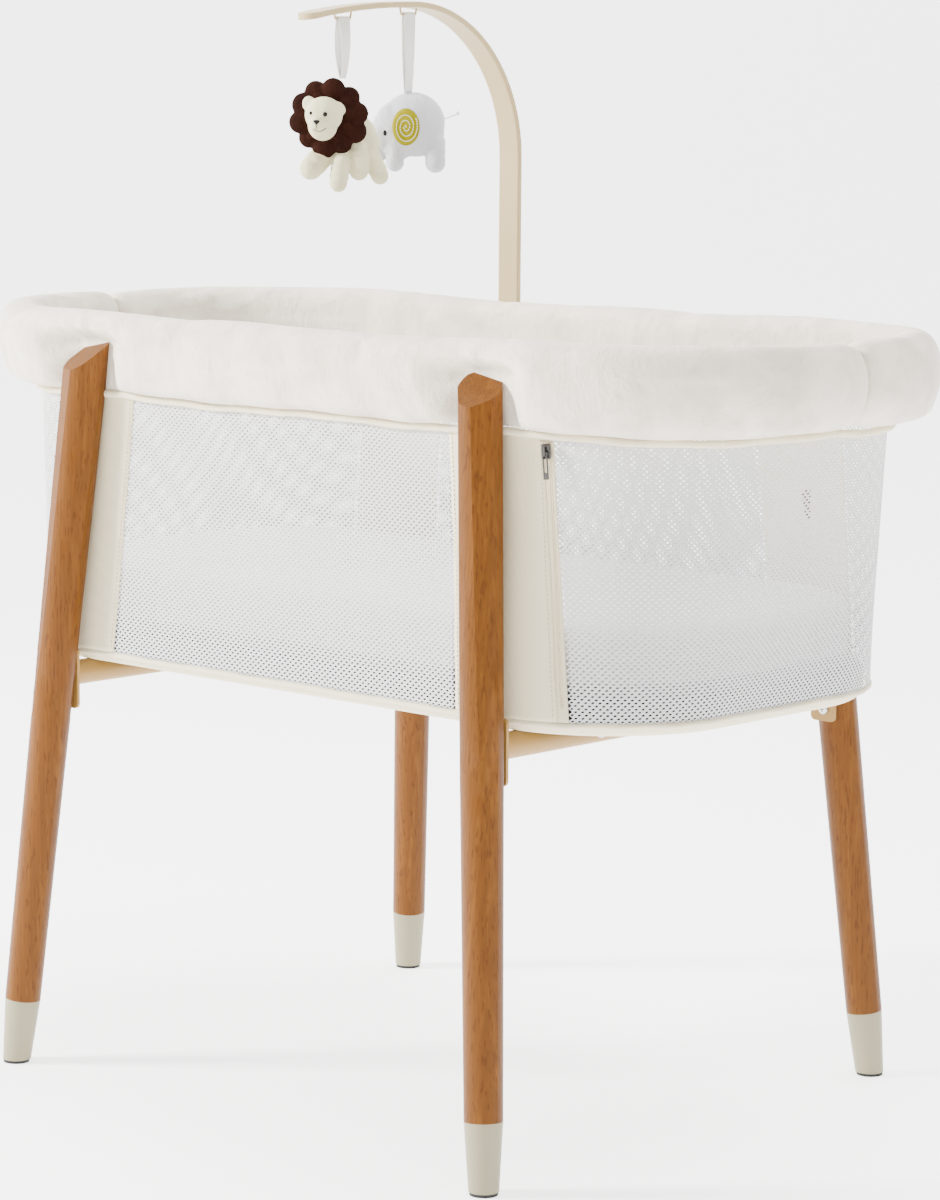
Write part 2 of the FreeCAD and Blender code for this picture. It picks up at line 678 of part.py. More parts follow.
def build_piping(legs):
    """The round piping at the base line and under the collar."""
    low, high = mm("base_piping_radius"), mm("collar_piping_radius")
    for label, wall, z, radius, away in (
            ("base_piping", "base", mm("base_z") - low - 0.05, low, -1.0),
            ("collar_piping", "wall", mm("hem_z") - high - GAP, high, high + 0.5)):
        a, b, r = (mm(wall + "_half_length"), mm(wall + "_half_width"), mm(wall + "_corner"))
        halves = []
        for _name, side in HALVES:
            halves.append(rod_along(half_path(a + away, b + away, r + away, z, side), radius))
        cord = halves[0].fuse(halves[1])
        for leg in legs:
            cord = cord.cut(leg.Shape)
        solid_piece(cord, label)


def zip_frame():
    """The slider's place: x along the wall, z up the zip, y into the basket."""
    z = mm("zip_top")
    x = leg_x(z) + mm("strip_half_width") + mm("zip_width") / 2
    return V(x, 2.6 - mm("wall_half_width"), z)


def build_zip_hardware():
    """The slider on its tape, and the pull that hangs from its lug."""
    at = zip_frame()
    long, wide, deep = mm("slider_length"), mm("slider_width"), mm("slider_depth")
    turn = FreeCAD.Rotation(UP, 20.0).multiply(FreeCAD.Rotation(V(0, 1, 0), -4.66))
    block = Part.makeBox(wide, deep, long, V(-wide / 2, -deep, -long))
    block = block.makeFillet(1.2, block.Edges)
    lug = Part.makeBox(1.6, 3.0, 8.0, V(-0.8, -deep - 3.0, -long + 2.5))
    eye = Part.makeCylinder(1.0, 4, V(-2, -deep - 1.6, -long + 5.0), V(1, 0, 0))
    slider = block.fuse(lug).cut(eye)
    place = FreeCAD.Placement(at, turn)
    slider.Placement = place
    solid_piece(slider, "zip_slider")

    length, width, thick = mm("pull_length"), mm("pull_width"), mm("pull_thickness")
    outer = Part.makeBox(width, thick, length, V(-width / 2, -thick / 2, -length + 1.8))
    outer = outer.makeFillet(thick * 0.45, outer.Edges)
    window = Part.makeBox(width - 2.4, 3 * thick, length - 8.5,
                          V(1.2 - width / 2, -1.5 * thick, -length + 7.6))
    pin = Part.makeCylinder(0.7, width - 1.5, V(-(width - 1.5) / 2, 0, 0), V(1, 0, 0))
    slot = Part.makeBox(2.4, 3 * thick, 5.4, V(-1.2, -1.5 * thick, -3.6))
    pull = outer.cut(window).cut(slot).fuse(pin).removeSplitter()
    pull.Placement = place.multiply(FreeCAD.Placement(V(0, -deep - 1.6, -long + 5.0),
                                                      FreeCAD.Rotation()))
    solid_piece(pull, "zip_pull")


def arm_path():
    """Centreline of the flat arm: up from its socket, over in an arc, then a gentle droop."""
    x, y = mm("arm_x"), mm("arm_y")
    bend, big, reach = mm("arm_bend_radius"), mm("arm_droop_radius"), mm("arm_reach")
    low, turn = mm("arm_foot"), mm("arm_bend_z")
    slant = math.sqrt(0.5)
    crown = V(x, y - bend, turn + bend)
    swing = math.asin(reach / big)
    tip = crown + V(0, -big * math.sin(swing), -big * (1 - math.cos(swing)))
    half = crown + V(0, -big * math.sin(swing / 2), -big * (1 - math.cos(swing / 2)))
    knee = V(x, y - bend + bend * slant, turn + bend * slant)
    return Part.Wire([
        Part.LineSegment(V(x, y, low), V(x, y, turn)).toShape(),
        Part.Arc(V(x, y, turn), knee, crown).toShape(),
        Part.Arc(crown, half, tip).toShape()])


def arm_underside(y):
    """Height of the arm's lower face where the toys hang."""
    crown_y = mm("arm_y") - mm("arm_bend_radius")
    crown_z = mm("arm_bend_z") + mm("arm_bend_radius")
    big = mm("arm_droop_radius")
    drop = big - math.sqrt(big ** 2 - max(crown_y - y, 0.0) ** 2)
    return crown_z - drop - mm("arm_thickness") / 2


def build_arm():
    """The flat bar with its rounded tip."""
    wide, thick = mm("arm_width"), mm("arm_thickness")
    x, y, low = mm("arm_x"), mm("arm_y"), mm("arm_foot")
    round_edge = 1.6
    section = Part.makeBox(wide, thick, 1, V(x - wide / 2, y - thick / 2, low))
    upright = [e for e in section.Edges if e.BoundBox.ZLength > 0.5]
    section = section.makeFillet(round_edge, upright)
    face = [f for f in section.Faces if f.BoundBox.ZLength < 0.01
            and abs(f.CenterOfMass.z - low) < 0.01][0]
    bar = arm_path().makePipeShell([face.OuterWire], True, False)
    # the tip is a half round seen from above
    tip_y = y - mm("arm_bend_radius") - mm("arm_reach")
    keep = Part.makeCylinder(wide / 2, TALL, V(x, tip_y + wide / 2, low))
    rest = Part.makeBox(4 * wide, TALL, TALL, V(x - 2 * wide, tip_y + wide / 2, low - 1))
    bar = bar.common(keep.fuse(rest))
    solid_piece(bar, "toy_arm")


def socket_shape():
    """The plastic socket behind the rear collar, with a lug under the ring tube."""
    x, y = mm("arm_x"), mm("arm_y")
    low, high = mm("socket_low"), mm("socket_high")
    wide, deep = mm("socket_width"), mm("socket_depth")
    block = Part.makeBox(wide, deep, high - low, V(x - wide / 2, y - deep / 2, low))
    block = block.makeFillet(4.0, [e for e in block.Edges if e.BoundBox.ZLength > 5])
    lug_top = mm("ring_z") - mm("ring_radius")
    inner = mm("ring_half_width") - mm("ring_radius")
    lug = Part.makeBox(mm("lug_width"), y - deep / 4 - inner, lug_top - mm("lug_low"),
                       V(x - mm("lug_width") / 2, inner, mm("lug_low")))
    lug = lug.common(Part.makeBox(TALL, TALL, TALL, V(-TALL / 2, 0, 0)))
    slot = Part.makeBox(mm("arm_width") + 2 * GAP, mm("arm_thickness") + 2 * GAP, high - low,
                        V(x - mm("arm_width") / 2 - GAP, y - mm("arm_thickness") / 2 - GAP,
                          mm("arm_foot") - GAP))
    return block.fuse(lug).removeSplitter().cut(slot)


def socket_screw_shapes():
    """Two screws up through the lug into the ring tube."""
    screws = []
    for offset in (-9.0, 9.0):
        place = FreeCAD.Placement(V(mm("arm_x") + offset, mm("ring_half_width"),
                                    mm("lug_low")), FreeCAD.Rotation())
        screws.append(pan_head_screw(place, 4.0, 2.2, 2.0, 13.0))
    return screws


def build_socket():
    screws = Part.makeCompound(socket_screw_shapes())
    solid_piece(socket_shape().cut(screws), "arm_socket")
    solid_piece(screws, "socket_screws")
    for thing in pieces:
        if thing.Label == "ring_tube_rear":
            thing.Shape = thing.Shape.cut(screws)


def rod_between(points, radius):
    """Round wire through points, with ball joints at the bends."""
    shape = None
    for start, end in zip(points, points[1:]):
        run = Part.makeCylinder(radius, start.distanceToPoint(end), start, end - start)
        shape = run if shape is None else shape.fuse(run)
    for corner in points[1:-1]:
        shape = shape.fuse(Part.makeSphere(radius, corner))
    return shape.removeSplitter()


def hanger_rod(y):
    """Middle of a wire hanger's lower rod, the axis that its toy swings about."""
    return V(mm("arm_x"), y, arm_underside(y) - 6.5)


def build_hanger(label, y):
    """A wire hanger bent like a trapezium, its two ends sunk in the arm."""
    rod = hanger_rod(y)
    top = arm_underside(y) + 1.5
    half = mm("hanger_half_width")
    points = [V(rod.x, y - half - 2, top), V(rod.x, y - half, rod.z),
              V(rod.x, y + half, rod.z), V(rod.x, y + half + 2, top)]
    wire = rod_between(points, mm("hanger_wire"))
    arm = [thing for thing in pieces if thing.Label == "toy_arm"][0]
    arm.Shape = arm.Shape.cut(wire)
    solid_piece(wire, label)


def largest(shape):
    """The one solid that counts when a cut leaves crumbs."""
    return max(shape.Solids, key=lambda solid: solid.Volume)


def build_ribbon(label, y, length, sewn_to):
    """A flat ribbon looped over the hanger's rod, both strands sewn to the toy."""
    rod = hanger_rod(y)
    thick = mm("ribbon_thickness")
    bore = mm("hanger_wire") + GAP
    wide = mm("ribbon_width")

    def drop(radius, foot):
        """A teardrop outline round the rod, narrowing to its foot."""
        left = V(rod.x - radius, y - wide / 2, rod.z)
        right = V(rod.x + radius, y - wide / 2, rod.z)
        crown = V(rod.x, y - wide / 2, rod.z + radius)
        tail = [V(rod.x + foot, y - wide / 2, rod.z - length),
                V(rod.x - foot, y - wide / 2, rod.z - length)]
        edges = [Part.Arc(left, crown, right).toShape(),
                 Part.LineSegment(right, tail[0]).toShape()]
        if foot > 0:
            edges.append(Part.LineSegment(tail[0], tail[1]).toShape())
        edges.append(Part.LineSegment(tail[1], left).toShape())
        return Part.Face(Part.Wire(edges)).extrude(V(0, wide, 0))

    loop_solid = drop(bore + thick, thick)
    hollow = drop(bore, 0.0)
    keep = Part.makeBox(20, 2 * wide, length, V(rod.x - 10, y - wide, rod.z - length + 4))
    ribbon = loop_solid.cut(hollow.common(keep))
    for thing in pieces:
        if thing.Label in sewn_to:
            ribbon = ribbon.cut(thing.Shape)
    solid_piece(largest(ribbon), label)


def capsule(start, end, radius):
    """A round-ended bar between two points."""
    bar = Part.makeCylinder(radius, start.distanceToPoint(end), start, end - start)
    return bar.fuse([Part.makeSphere(radius, start), Part.makeSphere(radius, end)])


def toy_place(y, z):
    """A toy's own frame: x to the toy's right side, -y out of its face, turned to the front."""
    return FreeCAD.Placement(V(mm("arm_x"), y, z), FreeCAD.Rotation(UP, 43.0))


def build_lion():
    """The lion: body with four paws, a head and a scalloped felt mane."""
    place = toy_place(mm("lion_y"), hanger_rod(mm("lion_y")).z - mm("lion_ribbon"))
    head_z = -44.0
    mane_body = doc.addObject("PartDesign::Body", "mane")
    outline = sketch_on(mane_body, "XZ_Plane", "mane_outline")
    petals, reach = 11, 31.0
    step = 2 * math.pi / petals
    for k in range(petals):
        start, end = k * step, (k + 1) * step
        middle = (start + end) / 2
        outline.addGeometry(Part.Arc(
            V(reach * math.cos(start), reach * math.sin(start), 0),
            V((reach + 8.0) * math.cos(middle), (reach + 8.0) * math.sin(middle), 0),
            V(reach * math.cos(end), reach * math.sin(end), 0)))
    doc.recompute()
    mane_pad = mane_body.newObject("PartDesign::Pad", "mane_pad")
    mane_pad.Profile = outline
    mane_pad.Length = 9.0
    mane_pad.SideType = "Symmetric"
    doc.recompute()
    mane_body.Placement = place.multiply(FreeCAD.Placement(V(-11, 0, head_z),
                                                           FreeCAD.Rotation()))
    piece(mane_body, "lion_mane")

    head = Part.makeSphere(20.5, V(-11, -14, head_z - 1))
    head = head.fuse(Part.makeSphere(9.0, V(-13, -28, head_z - 6)))
    for side in (-1, 1):
        ear = Part.makeCylinder(6.0, 5.0, V(-11 + side * 15.5, -13, head_z + 15), V(0, 1, 0))
        head = head.fuse(ear)
    head = head.common(Part.makeBox(120, 60, 120, V(-71, -64.8, head_z - 60)))
    head.Placement = place
    solid_piece(head.removeSplitter(), "lion_head")

    trunk = Part.makeCylinder(24.0, 24.0, V(10, 7, head_z - 16.0), V(0, 1, 0))
    trunk = trunk.makeFillet(9.0, [e for e in trunk.Edges if e.Closed and e.BoundBox.YLength < 1])
    # each limb by its place, radius and how far its paw hangs below the head's middle
    for x, y, radius, reach in ((-27, 2, 12.5, 61), (-1, -4, 9.5, 72), (19, 8, 10.5, 61),
                                (40, 14, 11.6, 66)):
        paw = V(x, y, head_z - reach + radius)
        hip = V(0.7 * x + 4, 19, head_z - 28)
        trunk = trunk.fuse(capsule(paw, hip, radius * 0.9))
    trunk.Placement = place
    for other in pieces:
        if other.Label in ("lion_mane", "lion_head"):
            trunk = trunk.cut(other.Shape)
    solid_piece(largest(trunk), "lion_body")


def build_elephant():
    """The elephant: a plump body with short legs and trunk, and one felt ear."""
    place = toy_place(mm("elephant_y"), hanger_rod(mm("elephant_y")).z - mm("elephant_ribbon"))
    top = -1.0
    body = Part.makeCylinder(33.0, 30.0, V(4, -15, top - 33), V(0, 1, 0))
    body = body.makeFillet(12.0, [e for e in body.Edges if e.Closed and e.BoundBox.YLength < 1])
    body = body.fuse(Part.makeSphere(14.5, V(-24, 0, top - 41)))
    for x in (-12.0, 24.0):
        for y in (-7.0, 7.0):
            body = body.fuse(capsule(V(x, y, top - 45), V(x, y, top - 69.4), 8.6))
    body = body.fuse(capsule(V(-27, 0, top - 46), V(-30, 0, top - 66), 7.0))
    body.Placement = place
    oval = Part.Ellipse(V(-3, -15.3, top - 20.5), V(10, -15.3, top - 38),
                        V(-3, -15.3, top - 38))
    ear_blank = Part.Face(Part.Wire([oval.toShape()])).extrude(V(0, -3.2, 0))
    ear_blank.Placement = place
    ear = ear_blank.cut(body)
    solid_piece(largest(body), "elephant_body")
    solid_piece(largest(ear), "elephant_ear")


legs_built = []
for corner_name, side_x, side_y in CORNERS:
    legs_built.append(build_leg(corner_name, side_x, side_y))
    build_sleeve(corner_name, side_x, side_y)
    build_glide(corner_name, side_x, side_y)
    build_plate(corner_name, side_x, side_y)
for side_name, side in SIDES:
    build_cross_tube(side_name, side)
doc.recompute()
build_bracket_screws()
build_stretchers()
build_base_ring()
build_floor()
build_wall()
build_rim(legs_built)
build_piping(legs_built)
build_zip_hardware()
build_arm()
build_socket()
build_hanger("lion_hanger", mm("lion_y"))
build_hanger("elephant_hanger", mm("elephant_y"))
build_lion()
build_elephant()
build_ribbon("lion_ribbon", mm("lion_y"), mm("lion_ribbon") + 10,
             ("lion_mane", "lion_head", "lion_body"))
build_ribbon("elephant_ribbon", mm("elephant_y"), mm("elephant_ribbon") + 5,
             ("elephant_body", "elephant_ear"))
doc.recompute()

for thing in doc.Objects:
    if {"Invalid", "Error"} & set(thing.State):
        raise RuntimeError(f"{thing.Label}: {thing.State}")
for thing in pieces:
    if thing.Shape.isNull() or not thing.Shape.isValid() or not thing.Shape.Solids:
        raise RuntimeError(f"{thing.Label} has no valid solid")

os.makedirs("parts", exist_ok=True)
for thing in pieces:
    thing.Shape.exportStep(f"parts/{thing.Label}.step")
print(len(pieces), "nodes written")
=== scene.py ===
"""Looks for the moses basket: net walls, plush collar, wooden stand and hanging toys."""

import math
from contextlib import contextmanager

import bmesh
import bpy
import numpy as np
from mathutils import Matrix, Vector


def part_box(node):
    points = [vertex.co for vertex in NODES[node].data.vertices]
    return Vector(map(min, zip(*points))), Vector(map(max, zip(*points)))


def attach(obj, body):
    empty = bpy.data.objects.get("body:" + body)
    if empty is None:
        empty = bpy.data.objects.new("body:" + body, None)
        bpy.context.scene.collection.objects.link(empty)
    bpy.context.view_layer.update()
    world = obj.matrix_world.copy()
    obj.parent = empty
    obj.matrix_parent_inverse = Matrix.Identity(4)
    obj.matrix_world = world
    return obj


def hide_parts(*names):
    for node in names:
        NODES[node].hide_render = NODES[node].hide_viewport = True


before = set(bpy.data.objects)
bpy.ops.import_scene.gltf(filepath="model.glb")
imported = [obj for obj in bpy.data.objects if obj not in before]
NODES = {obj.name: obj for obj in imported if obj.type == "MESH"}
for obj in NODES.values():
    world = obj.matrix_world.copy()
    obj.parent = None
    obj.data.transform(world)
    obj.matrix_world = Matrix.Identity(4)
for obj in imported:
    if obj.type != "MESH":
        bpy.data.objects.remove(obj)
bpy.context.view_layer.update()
MM = 0.001
rng = np.random.default_rng(7)

# sizes that the CAD shares, in millimetres
FOOT_X, SPLAY_X = 310.0, 0.0815  # a leg's axis at the floor, and its lean for each mm up
# half length, half width, corner and height of the wall at its base and at its hem
BASE, HEM = (410.0, 220.0, 140.0, 405.0), (456.0, 210.0, 190.0, 652.0)
STRIP, ZIP = 53.0, 9.0  # a leg strip's half width and the zip tape's width
COLLAR_AT_LEG = 213.4  # half width of the collar where a leg presses it in
LEG_HALF = 21.5  # half of the width that a leg's top takes out of the collar
ARM_X, ROD_BELOW_ARM = -165.0, 6.5
LION_Y, ELEPHANT_Y = 26.0, 117.0

# sizes from the photograph, in millimetres
NET_PITCH, NET_ROW = 6.6, 2.7

# the photograph's viewing angle: turns in degrees, place in metres, lens in millimetres
CAMERA_TURNS, CAMERA_PLACE = (43.1185, 8.0637, 0.4053), (2.4113, -2.5396, 0.9530)
LENS, SENSOR = 111.6066, 36.0


def leg_x(z):
    return FOOT_X - SPLAY_X * z


def shade(colour, share):
    """The same colour, darker or lighter."""
    return tuple(min(1.0, c * share) for c in colour[:3]) + (1.0,)


def grey(level):
    return (level, level, level, 1.0)


def smoothstep(low, high, x):
    t = np.clip((np.asarray(x, float) - low) / (high - low), 0, 1)
    return t * t * (3 - 2 * t)


# ---- camera, lights, stage
def build_camera():
    yaw, pitch, roll = map(math.radians, CAMERA_TURNS)
    view = Vector((-math.sin(yaw) * math.cos(pitch), math.cos(yaw) * math.cos(pitch),
                   -math.sin(pitch)))
    right = Vector((math.cos(yaw), math.sin(yaw), 0))
    up = right.cross(view)
    right, up = (math.cos(roll) * right + math.sin(roll) * up,
                 -math.sin(roll) * right + math.cos(roll) * up)
    data = bpy.data.cameras.new("camera")
    data.sensor_fit = "VERTICAL"
    data.sensor_height = SENSOR
    data.lens = LENS
    data.clip_end = 60
    camera = bpy.data.objects.new("camera", data)
    bpy.context.scene.collection.objects.link(camera)
    turn = Matrix((right, up, -view)).transposed().to_4x4()
    camera.matrix_world = Matrix.Translation(CAMERA_PLACE) @ turn
    bpy.context.scene.camera = camera


def area_light(name, place, target, size, power, colour=(1, 1, 1)):
    data = bpy.data.lights.new(name, "AREA")
    data.shape = "DISK"
    data.size = size
    data.energy = power
    data.color = colour
    lamp = bpy.data.objects.new(name, data)
    bpy.context.scene.collection.objects.link(lamp)
    lamp.location = place
    lamp.rotation_euler = (Vector(target) - Vector(place)).to_track_quat("-Z", "Y").to_euler()


def build_stage():
    world = bpy.data.worlds.new("studio")
    bpy.context.scene.world = world
    world.use_nodes = True
    background = world.node_tree.nodes["Background"]
    background.inputs["Color"].default_value = (1, 1, 1, 1)
    background.inputs["Strength"].default_value = 0.75
    area_light("key", (-3.0, -3.1, 2.4), (0.0, 0, 0.5), 1.1, 760, (1.0, 0.985, 0.96))
    area_light("top", (0.3, 0.4, 3.6), (0, 0, 0.4), 2.4, 200)
    area_light("right", (3.6, -0.6, 1.5), (0.2, 0, 0.5), 1.4, 22)
    # a pale floor that sweeps up into a backdrop behind the basket
    bend, radius, steps, far, half_wide = 4.2, 2.5, 12, 9.0, 12.0
    rows = [(-far, 0.0), (bend, 0.0)]
    for k in range(1, steps + 1):
        turn = k / steps * math.pi / 2
        rows.append((bend + radius * math.sin(turn), radius * (1 - math.cos(turn))))
    rows.append((bend + radius, far))
    verts = [(x, y, z) for y, z in rows for x in (-half_wide, half_wide)]
    faces = [(2 * k, 2 * k + 1, 2 * k + 3, 2 * k + 2) for k in range(len(rows) - 1)]
    mesh = bpy.data.meshes.new("floor")
    mesh.from_pydata(verts, [], faces)
    floor = bpy.data.objects.new("floor", mesh)
    bpy.context.scene.collection.objects.link(floor)
    floor.rotation_euler.z = math.radians(43.1)  # square to the camera
    smooth_faces(mesh)
    mat = bpy.data.materials.new("studio_floor")
    mat.use_nodes = True
    shader = mat.node_tree.nodes["Principled BSDF"]
    shader.inputs["Base Color"].default_value = (0.93, 0.93, 0.93, 1)
    shader.inputs["Roughness"].default_value = 0.9
    shader.inputs["Emission Color"].default_value = (1, 1, 1, 1)
    shader.inputs["Emission Strength"].default_value = 2.3
    mesh.materials.append(mat)


# ---- materials
class Paint:
    """A small builder for node materials in object coordinates, in metres."""

    def __init__(self, name, roughness=0.6, **sockets):
        self.material = bpy.data.materials.new(name)
        self.material.use_nodes = True
        self.tree = self.material.node_tree
        self.shader = self.tree.nodes["Principled BSDF"]
        self.shader.inputs["Roughness"].default_value = roughness
        for key, value in sockets.items():
            self.shader.inputs[key.replace("_", " ")].default_value = value
        self.place = self.add("ShaderNodeTexCoord").outputs["Object"]

    def add(self, kind, **values):
        node = self.tree.nodes.new(kind)
        for key, value in values.items():
            if hasattr(node, key):
                setattr(node, key, value)
            else:
                node.inputs[key.replace("_", " ")].default_value = value
        return node

    def link(self, a, b):
        self.tree.links.new(a, b)

    def stretched(self, scale, turn=(0, 0, 0)):
        mapping = self.add("ShaderNodeMapping")
        mapping.inputs["Scale"].default_value = scale
        mapping.inputs["Rotation"].default_value = turn
        self.link(self.place, mapping.inputs["Vector"])
        return mapping.outputs["Vector"]

    def noise(self, scale, detail=2.0, roughness=0.5, place=None, distortion=0.0):
        node = self.add("ShaderNodeTexNoise", Scale=scale, Detail=detail,
                        Roughness=roughness, Distortion=distortion)
        self.link(place or self.place, node.inputs["Vector"])
        return node.outputs["Fac"]

    def bands(self, scale, direction, place=None, distortion=0.0):
        node = self.add("ShaderNodeTexWave", wave_type="BANDS", bands_direction=direction,
                        Scale=scale, Distortion=distortion)
        self.link(place or self.place, node.inputs["Vector"])
        return node.outputs["Fac"]

    def ramp(self, factor, stops):
        node = self.add("ShaderNodeValToRGB")
        ramp = node.color_ramp
        while len(ramp.elements) < len(stops):
            ramp.elements.new(0.5)
        for element, (at, colour) in zip(ramp.elements, stops):
            element.position = at
            element.color = colour
        self.link(factor, node.inputs["Fac"])
        return node.outputs["Color"]

    def feed(self, value, socket):
        """Give an input a value, or link it if the value is another node's output."""
        if hasattr(value, "links"):
            self.link(value, socket)
        else:
            socket.default_value = value

    def mix(self, factor, a, b, blend="MIX"):
        node = self.add("ShaderNodeMix", data_type="RGBA", blend_type=blend)
        for value, index in ((factor, 0), (a, 6), (b, 7)):  # 6 and 7 are the two colours
            self.feed(value, node.inputs[index])
        return node.outputs[2]

    def math(self, operation, a, b=0.0):
        node = self.add("ShaderNodeMath", operation=operation)
        self.feed(a, node.inputs[0])
        self.feed(b, node.inputs[1])
        return node.outputs[0]

    def fade(self, factor, share, a, b):
        """Mix from a to b by a share of the factor."""
        return self.mix(self.math("MULTIPLY", factor, share), a, b)

    def colour(self, socket):
        self.link(socket, self.shader.inputs["Base Color"])
        return self

    def rough(self, socket, low, high):
        node = self.add("ShaderNodeMapRange")
        node.inputs["To Min"].default_value = low
        node.inputs["To Max"].default_value = high
        self.link(socket, node.inputs["Value"])
        self.link(node.outputs["Result"], self.shader.inputs["Roughness"])
        return self

    def bump(self, *heights):
        """Stack bumps, each a height socket, its depth in metres and a strength."""
        last = None
        for socket, depth, strength in heights:
            node = self.add("ShaderNodeBump", Distance=depth, Strength=strength)
            self.link(socket, node.inputs["Height"])
            if last:
                self.link(last, node.inputs["Normal"])
            last = node.outputs["Normal"]
        self.link(last, self.shader.inputs["Normal"])
        return self


def make_wood(name, ring_centre):
    """Beech: growth rings round an upright axis beside the leg, pores and dark flecks."""
    p = Paint(name, 0.45, Specular_IOR_Level=0.14)
    light, mid = (0.190, 0.070, 0.0085, 1), (0.130, 0.0440, 0.0040, 1)
    dark = (0.060, 0.016, 0.0015, 1)
    centred = p.add("ShaderNodeMapping")
    centred.inputs["Location"].default_value = (-ring_centre[0], -ring_centre[1], 0)
    p.link(p.place, centred.inputs["Vector"])
    rings = p.add("ShaderNodeTexWave", wave_type="RINGS", rings_direction="Z", Scale=92.0,
                  Distortion=1.6, Detail=2.0)
    p.link(centred.outputs["Vector"], rings.inputs["Vector"])
    grain = p.noise(1.0, 5.0, 0.62, p.stretched((110, 110, 4.0)), 0.6)
    base = p.ramp(grain, [(0.3, shade(mid, 0.85)), (0.5, mid), (0.72, light)])
    base = p.fade(rings.outputs["Fac"], 0.34, base, shade(mid, 0.62))
    flecks = p.noise(1.0, 1.0, 0.4, p.stretched((560, 560, 70)))
    spots = p.ramp(flecks, [(0.60, grey(0.0)), (0.67, grey(1.0))])
    base = p.fade(spots, 0.62, base, dark)
    marks = p.noise(1.0, 1.0, 0.4, p.stretched((150, 150, 45)))
    knots = p.ramp(marks, [(0.70, grey(0.0)), (0.76, grey(1.0))])
    base = p.fade(knots, 0.5, base, dark)
    broad = p.noise(3.0, 2.0)
    p.colour(p.fade(broad, 0.4, base, shade(mid, 0.75)))
    p.rough(grain, 0.36, 0.52)
    return p.bump((grain, 0.0003, 0.35), (flecks, 0.0002, 0.25)).material


def make_moulded(name, colour, roughness=0.45, grain=900.0):
    p = Paint(name, roughness, Specular_IOR_Level=0.3)
    cloud = p.noise(24.0, 3.0)
    p.colour(p.fade(cloud, 0.5, colour, shade(colour, 0.88)))
    fine = p.noise(grain, 3.0, 0.6)
    p.rough(fine, roughness - 0.06, roughness + 0.08)
    return p.bump((fine, 0.0002, 0.25)).material


def make_powder(name, colour):
    p = Paint(name, 0.42, Specular_IOR_Level=0.3)
    cloud = p.noise(14.0, 2.0)
    p.colour(p.fade(cloud, 0.6, colour, shade(colour, 0.82)))
    orange_peel = p.noise(700.0, 2.0)
    p.rough(orange_peel, 0.36, 0.5)
    return p.bump((orange_peel, 0.00025, 0.3)).material


def make_metal(name, colour, roughness=0.28):
    p = Paint(name, roughness, Metallic=1.0)
    brushed = p.noise(260.0, 4.0, 0.7)
    p.colour(p.ramp(brushed, [(0.3, shade(colour, 0.8)), (0.7, colour)]))
    p.rough(brushed, roughness - 0.08, roughness + 0.14)
    return p.bump((brushed, 0.0001, 0.2)).material


def make_woven(name, colour, thread=0.0008, sheen=0.15, depth=0.0003, low_band=None):
    """Plain weave: threads in two directions, with slubs and a faint mottle."""
    p = Paint(name, 0.82, Sheen_Weight=sheen, Sheen_Roughness=0.5)
    rate = 0.32 / thread
    warp_x, warp_y, weft = (p.bands(rate, axis, distortion=0.6) for axis in "XYZ")
    warp = p.math("ADD", warp_x, warp_y)
    weave = p.math("ADD", p.math("MULTIPLY", warp, 0.5), weft)
    slub = p.noise(90.0, 4.0, 0.6, p.stretched((1, 1, 3)))
    tone = p.fade(weave, 0.3, colour, shade(colour, 0.8))
    # low_band gives another colour below a height; the mattress cover uses it for painted shade
    # on its lower side
    if low_band:
        height = p.add("ShaderNodeSeparateXYZ")
        p.link(p.place, height.inputs[0])
        at, band = low_band
        above = p.add("ShaderNodeMapRange", From_Min=at - 0.002, From_Max=at + 0.002)
        p.link(height.outputs["Z"], above.inputs["Value"])
        tone = p.mix(above.outputs["Result"], band, tone)
    p.colour(p.mix(p.math("MULTIPLY", slub, 0.3), tone, grey(0.84), "MULTIPLY"))
    return p.bump((weave, depth, 0.35), (slub, 0.0008, 0.2)).material


def make_plush(name, colour, nap=0.0012, sheen=0.45, mottle=0.12, warm=None):
    """Short pile: a soft mottle where the nap lies in different ways, and fine fibres."""
    p = Paint(name, 0.9, Sheen_Weight=sheen, Sheen_Roughness=0.45, Specular_IOR_Level=0.1)
    patch = p.noise(26.0, 4.0, 0.55, distortion=0.5)
    streak = p.noise(140.0, 4.0, 0.65, p.stretched((1, 1, 0.45)))
    fibre = p.noise(0.75 / nap, 3.0, 0.7)
    tone = p.ramp(patch, [(0.35, shade(colour, 1 - mottle)), (0.62, colour)])
    if warm:
        tone = p.fade(p.noise(5.0, 2.0), 0.5, tone, warm)
    darker = shade(colour, 0.75)
    tone = p.fade(streak, 0.4, tone, darker)
    p.colour(p.fade(fibre, 0.35, tone, darker))
    return p.bump((fibre, nap * 0.8, 0.8), (streak, 0.0022, 0.7),
                  (patch, 0.006, 0.5)).material


def make_net():
    p = Paint("net_yarn", 0.75, Sheen_Weight=0.2, Sheen_Roughness=0.5)
    fibre = p.noise(1500.0, 3.0, 0.7)
    cloud = p.noise(12.0, 2.0)
    tone = p.ramp(fibre, [(0.3, grey(0.46)), (0.7, grey(0.64))])
    p.colour(p.fade(cloud, 0.25, tone, (0.52, 0.51, 0.485, 1)))
    return p.bump((fibre, 0.0004, 0.4)).material


def make_thread(name, colour):
    p = Paint(name, 0.6, Sheen_Weight=0.3)
    ply = p.noise(2200.0, 2.0)
    p.colour(p.mix(ply, colour, shade(colour, 0.7)))
    return p.bump((ply, 0.0002, 0.5)).material


MATERIALS = {}


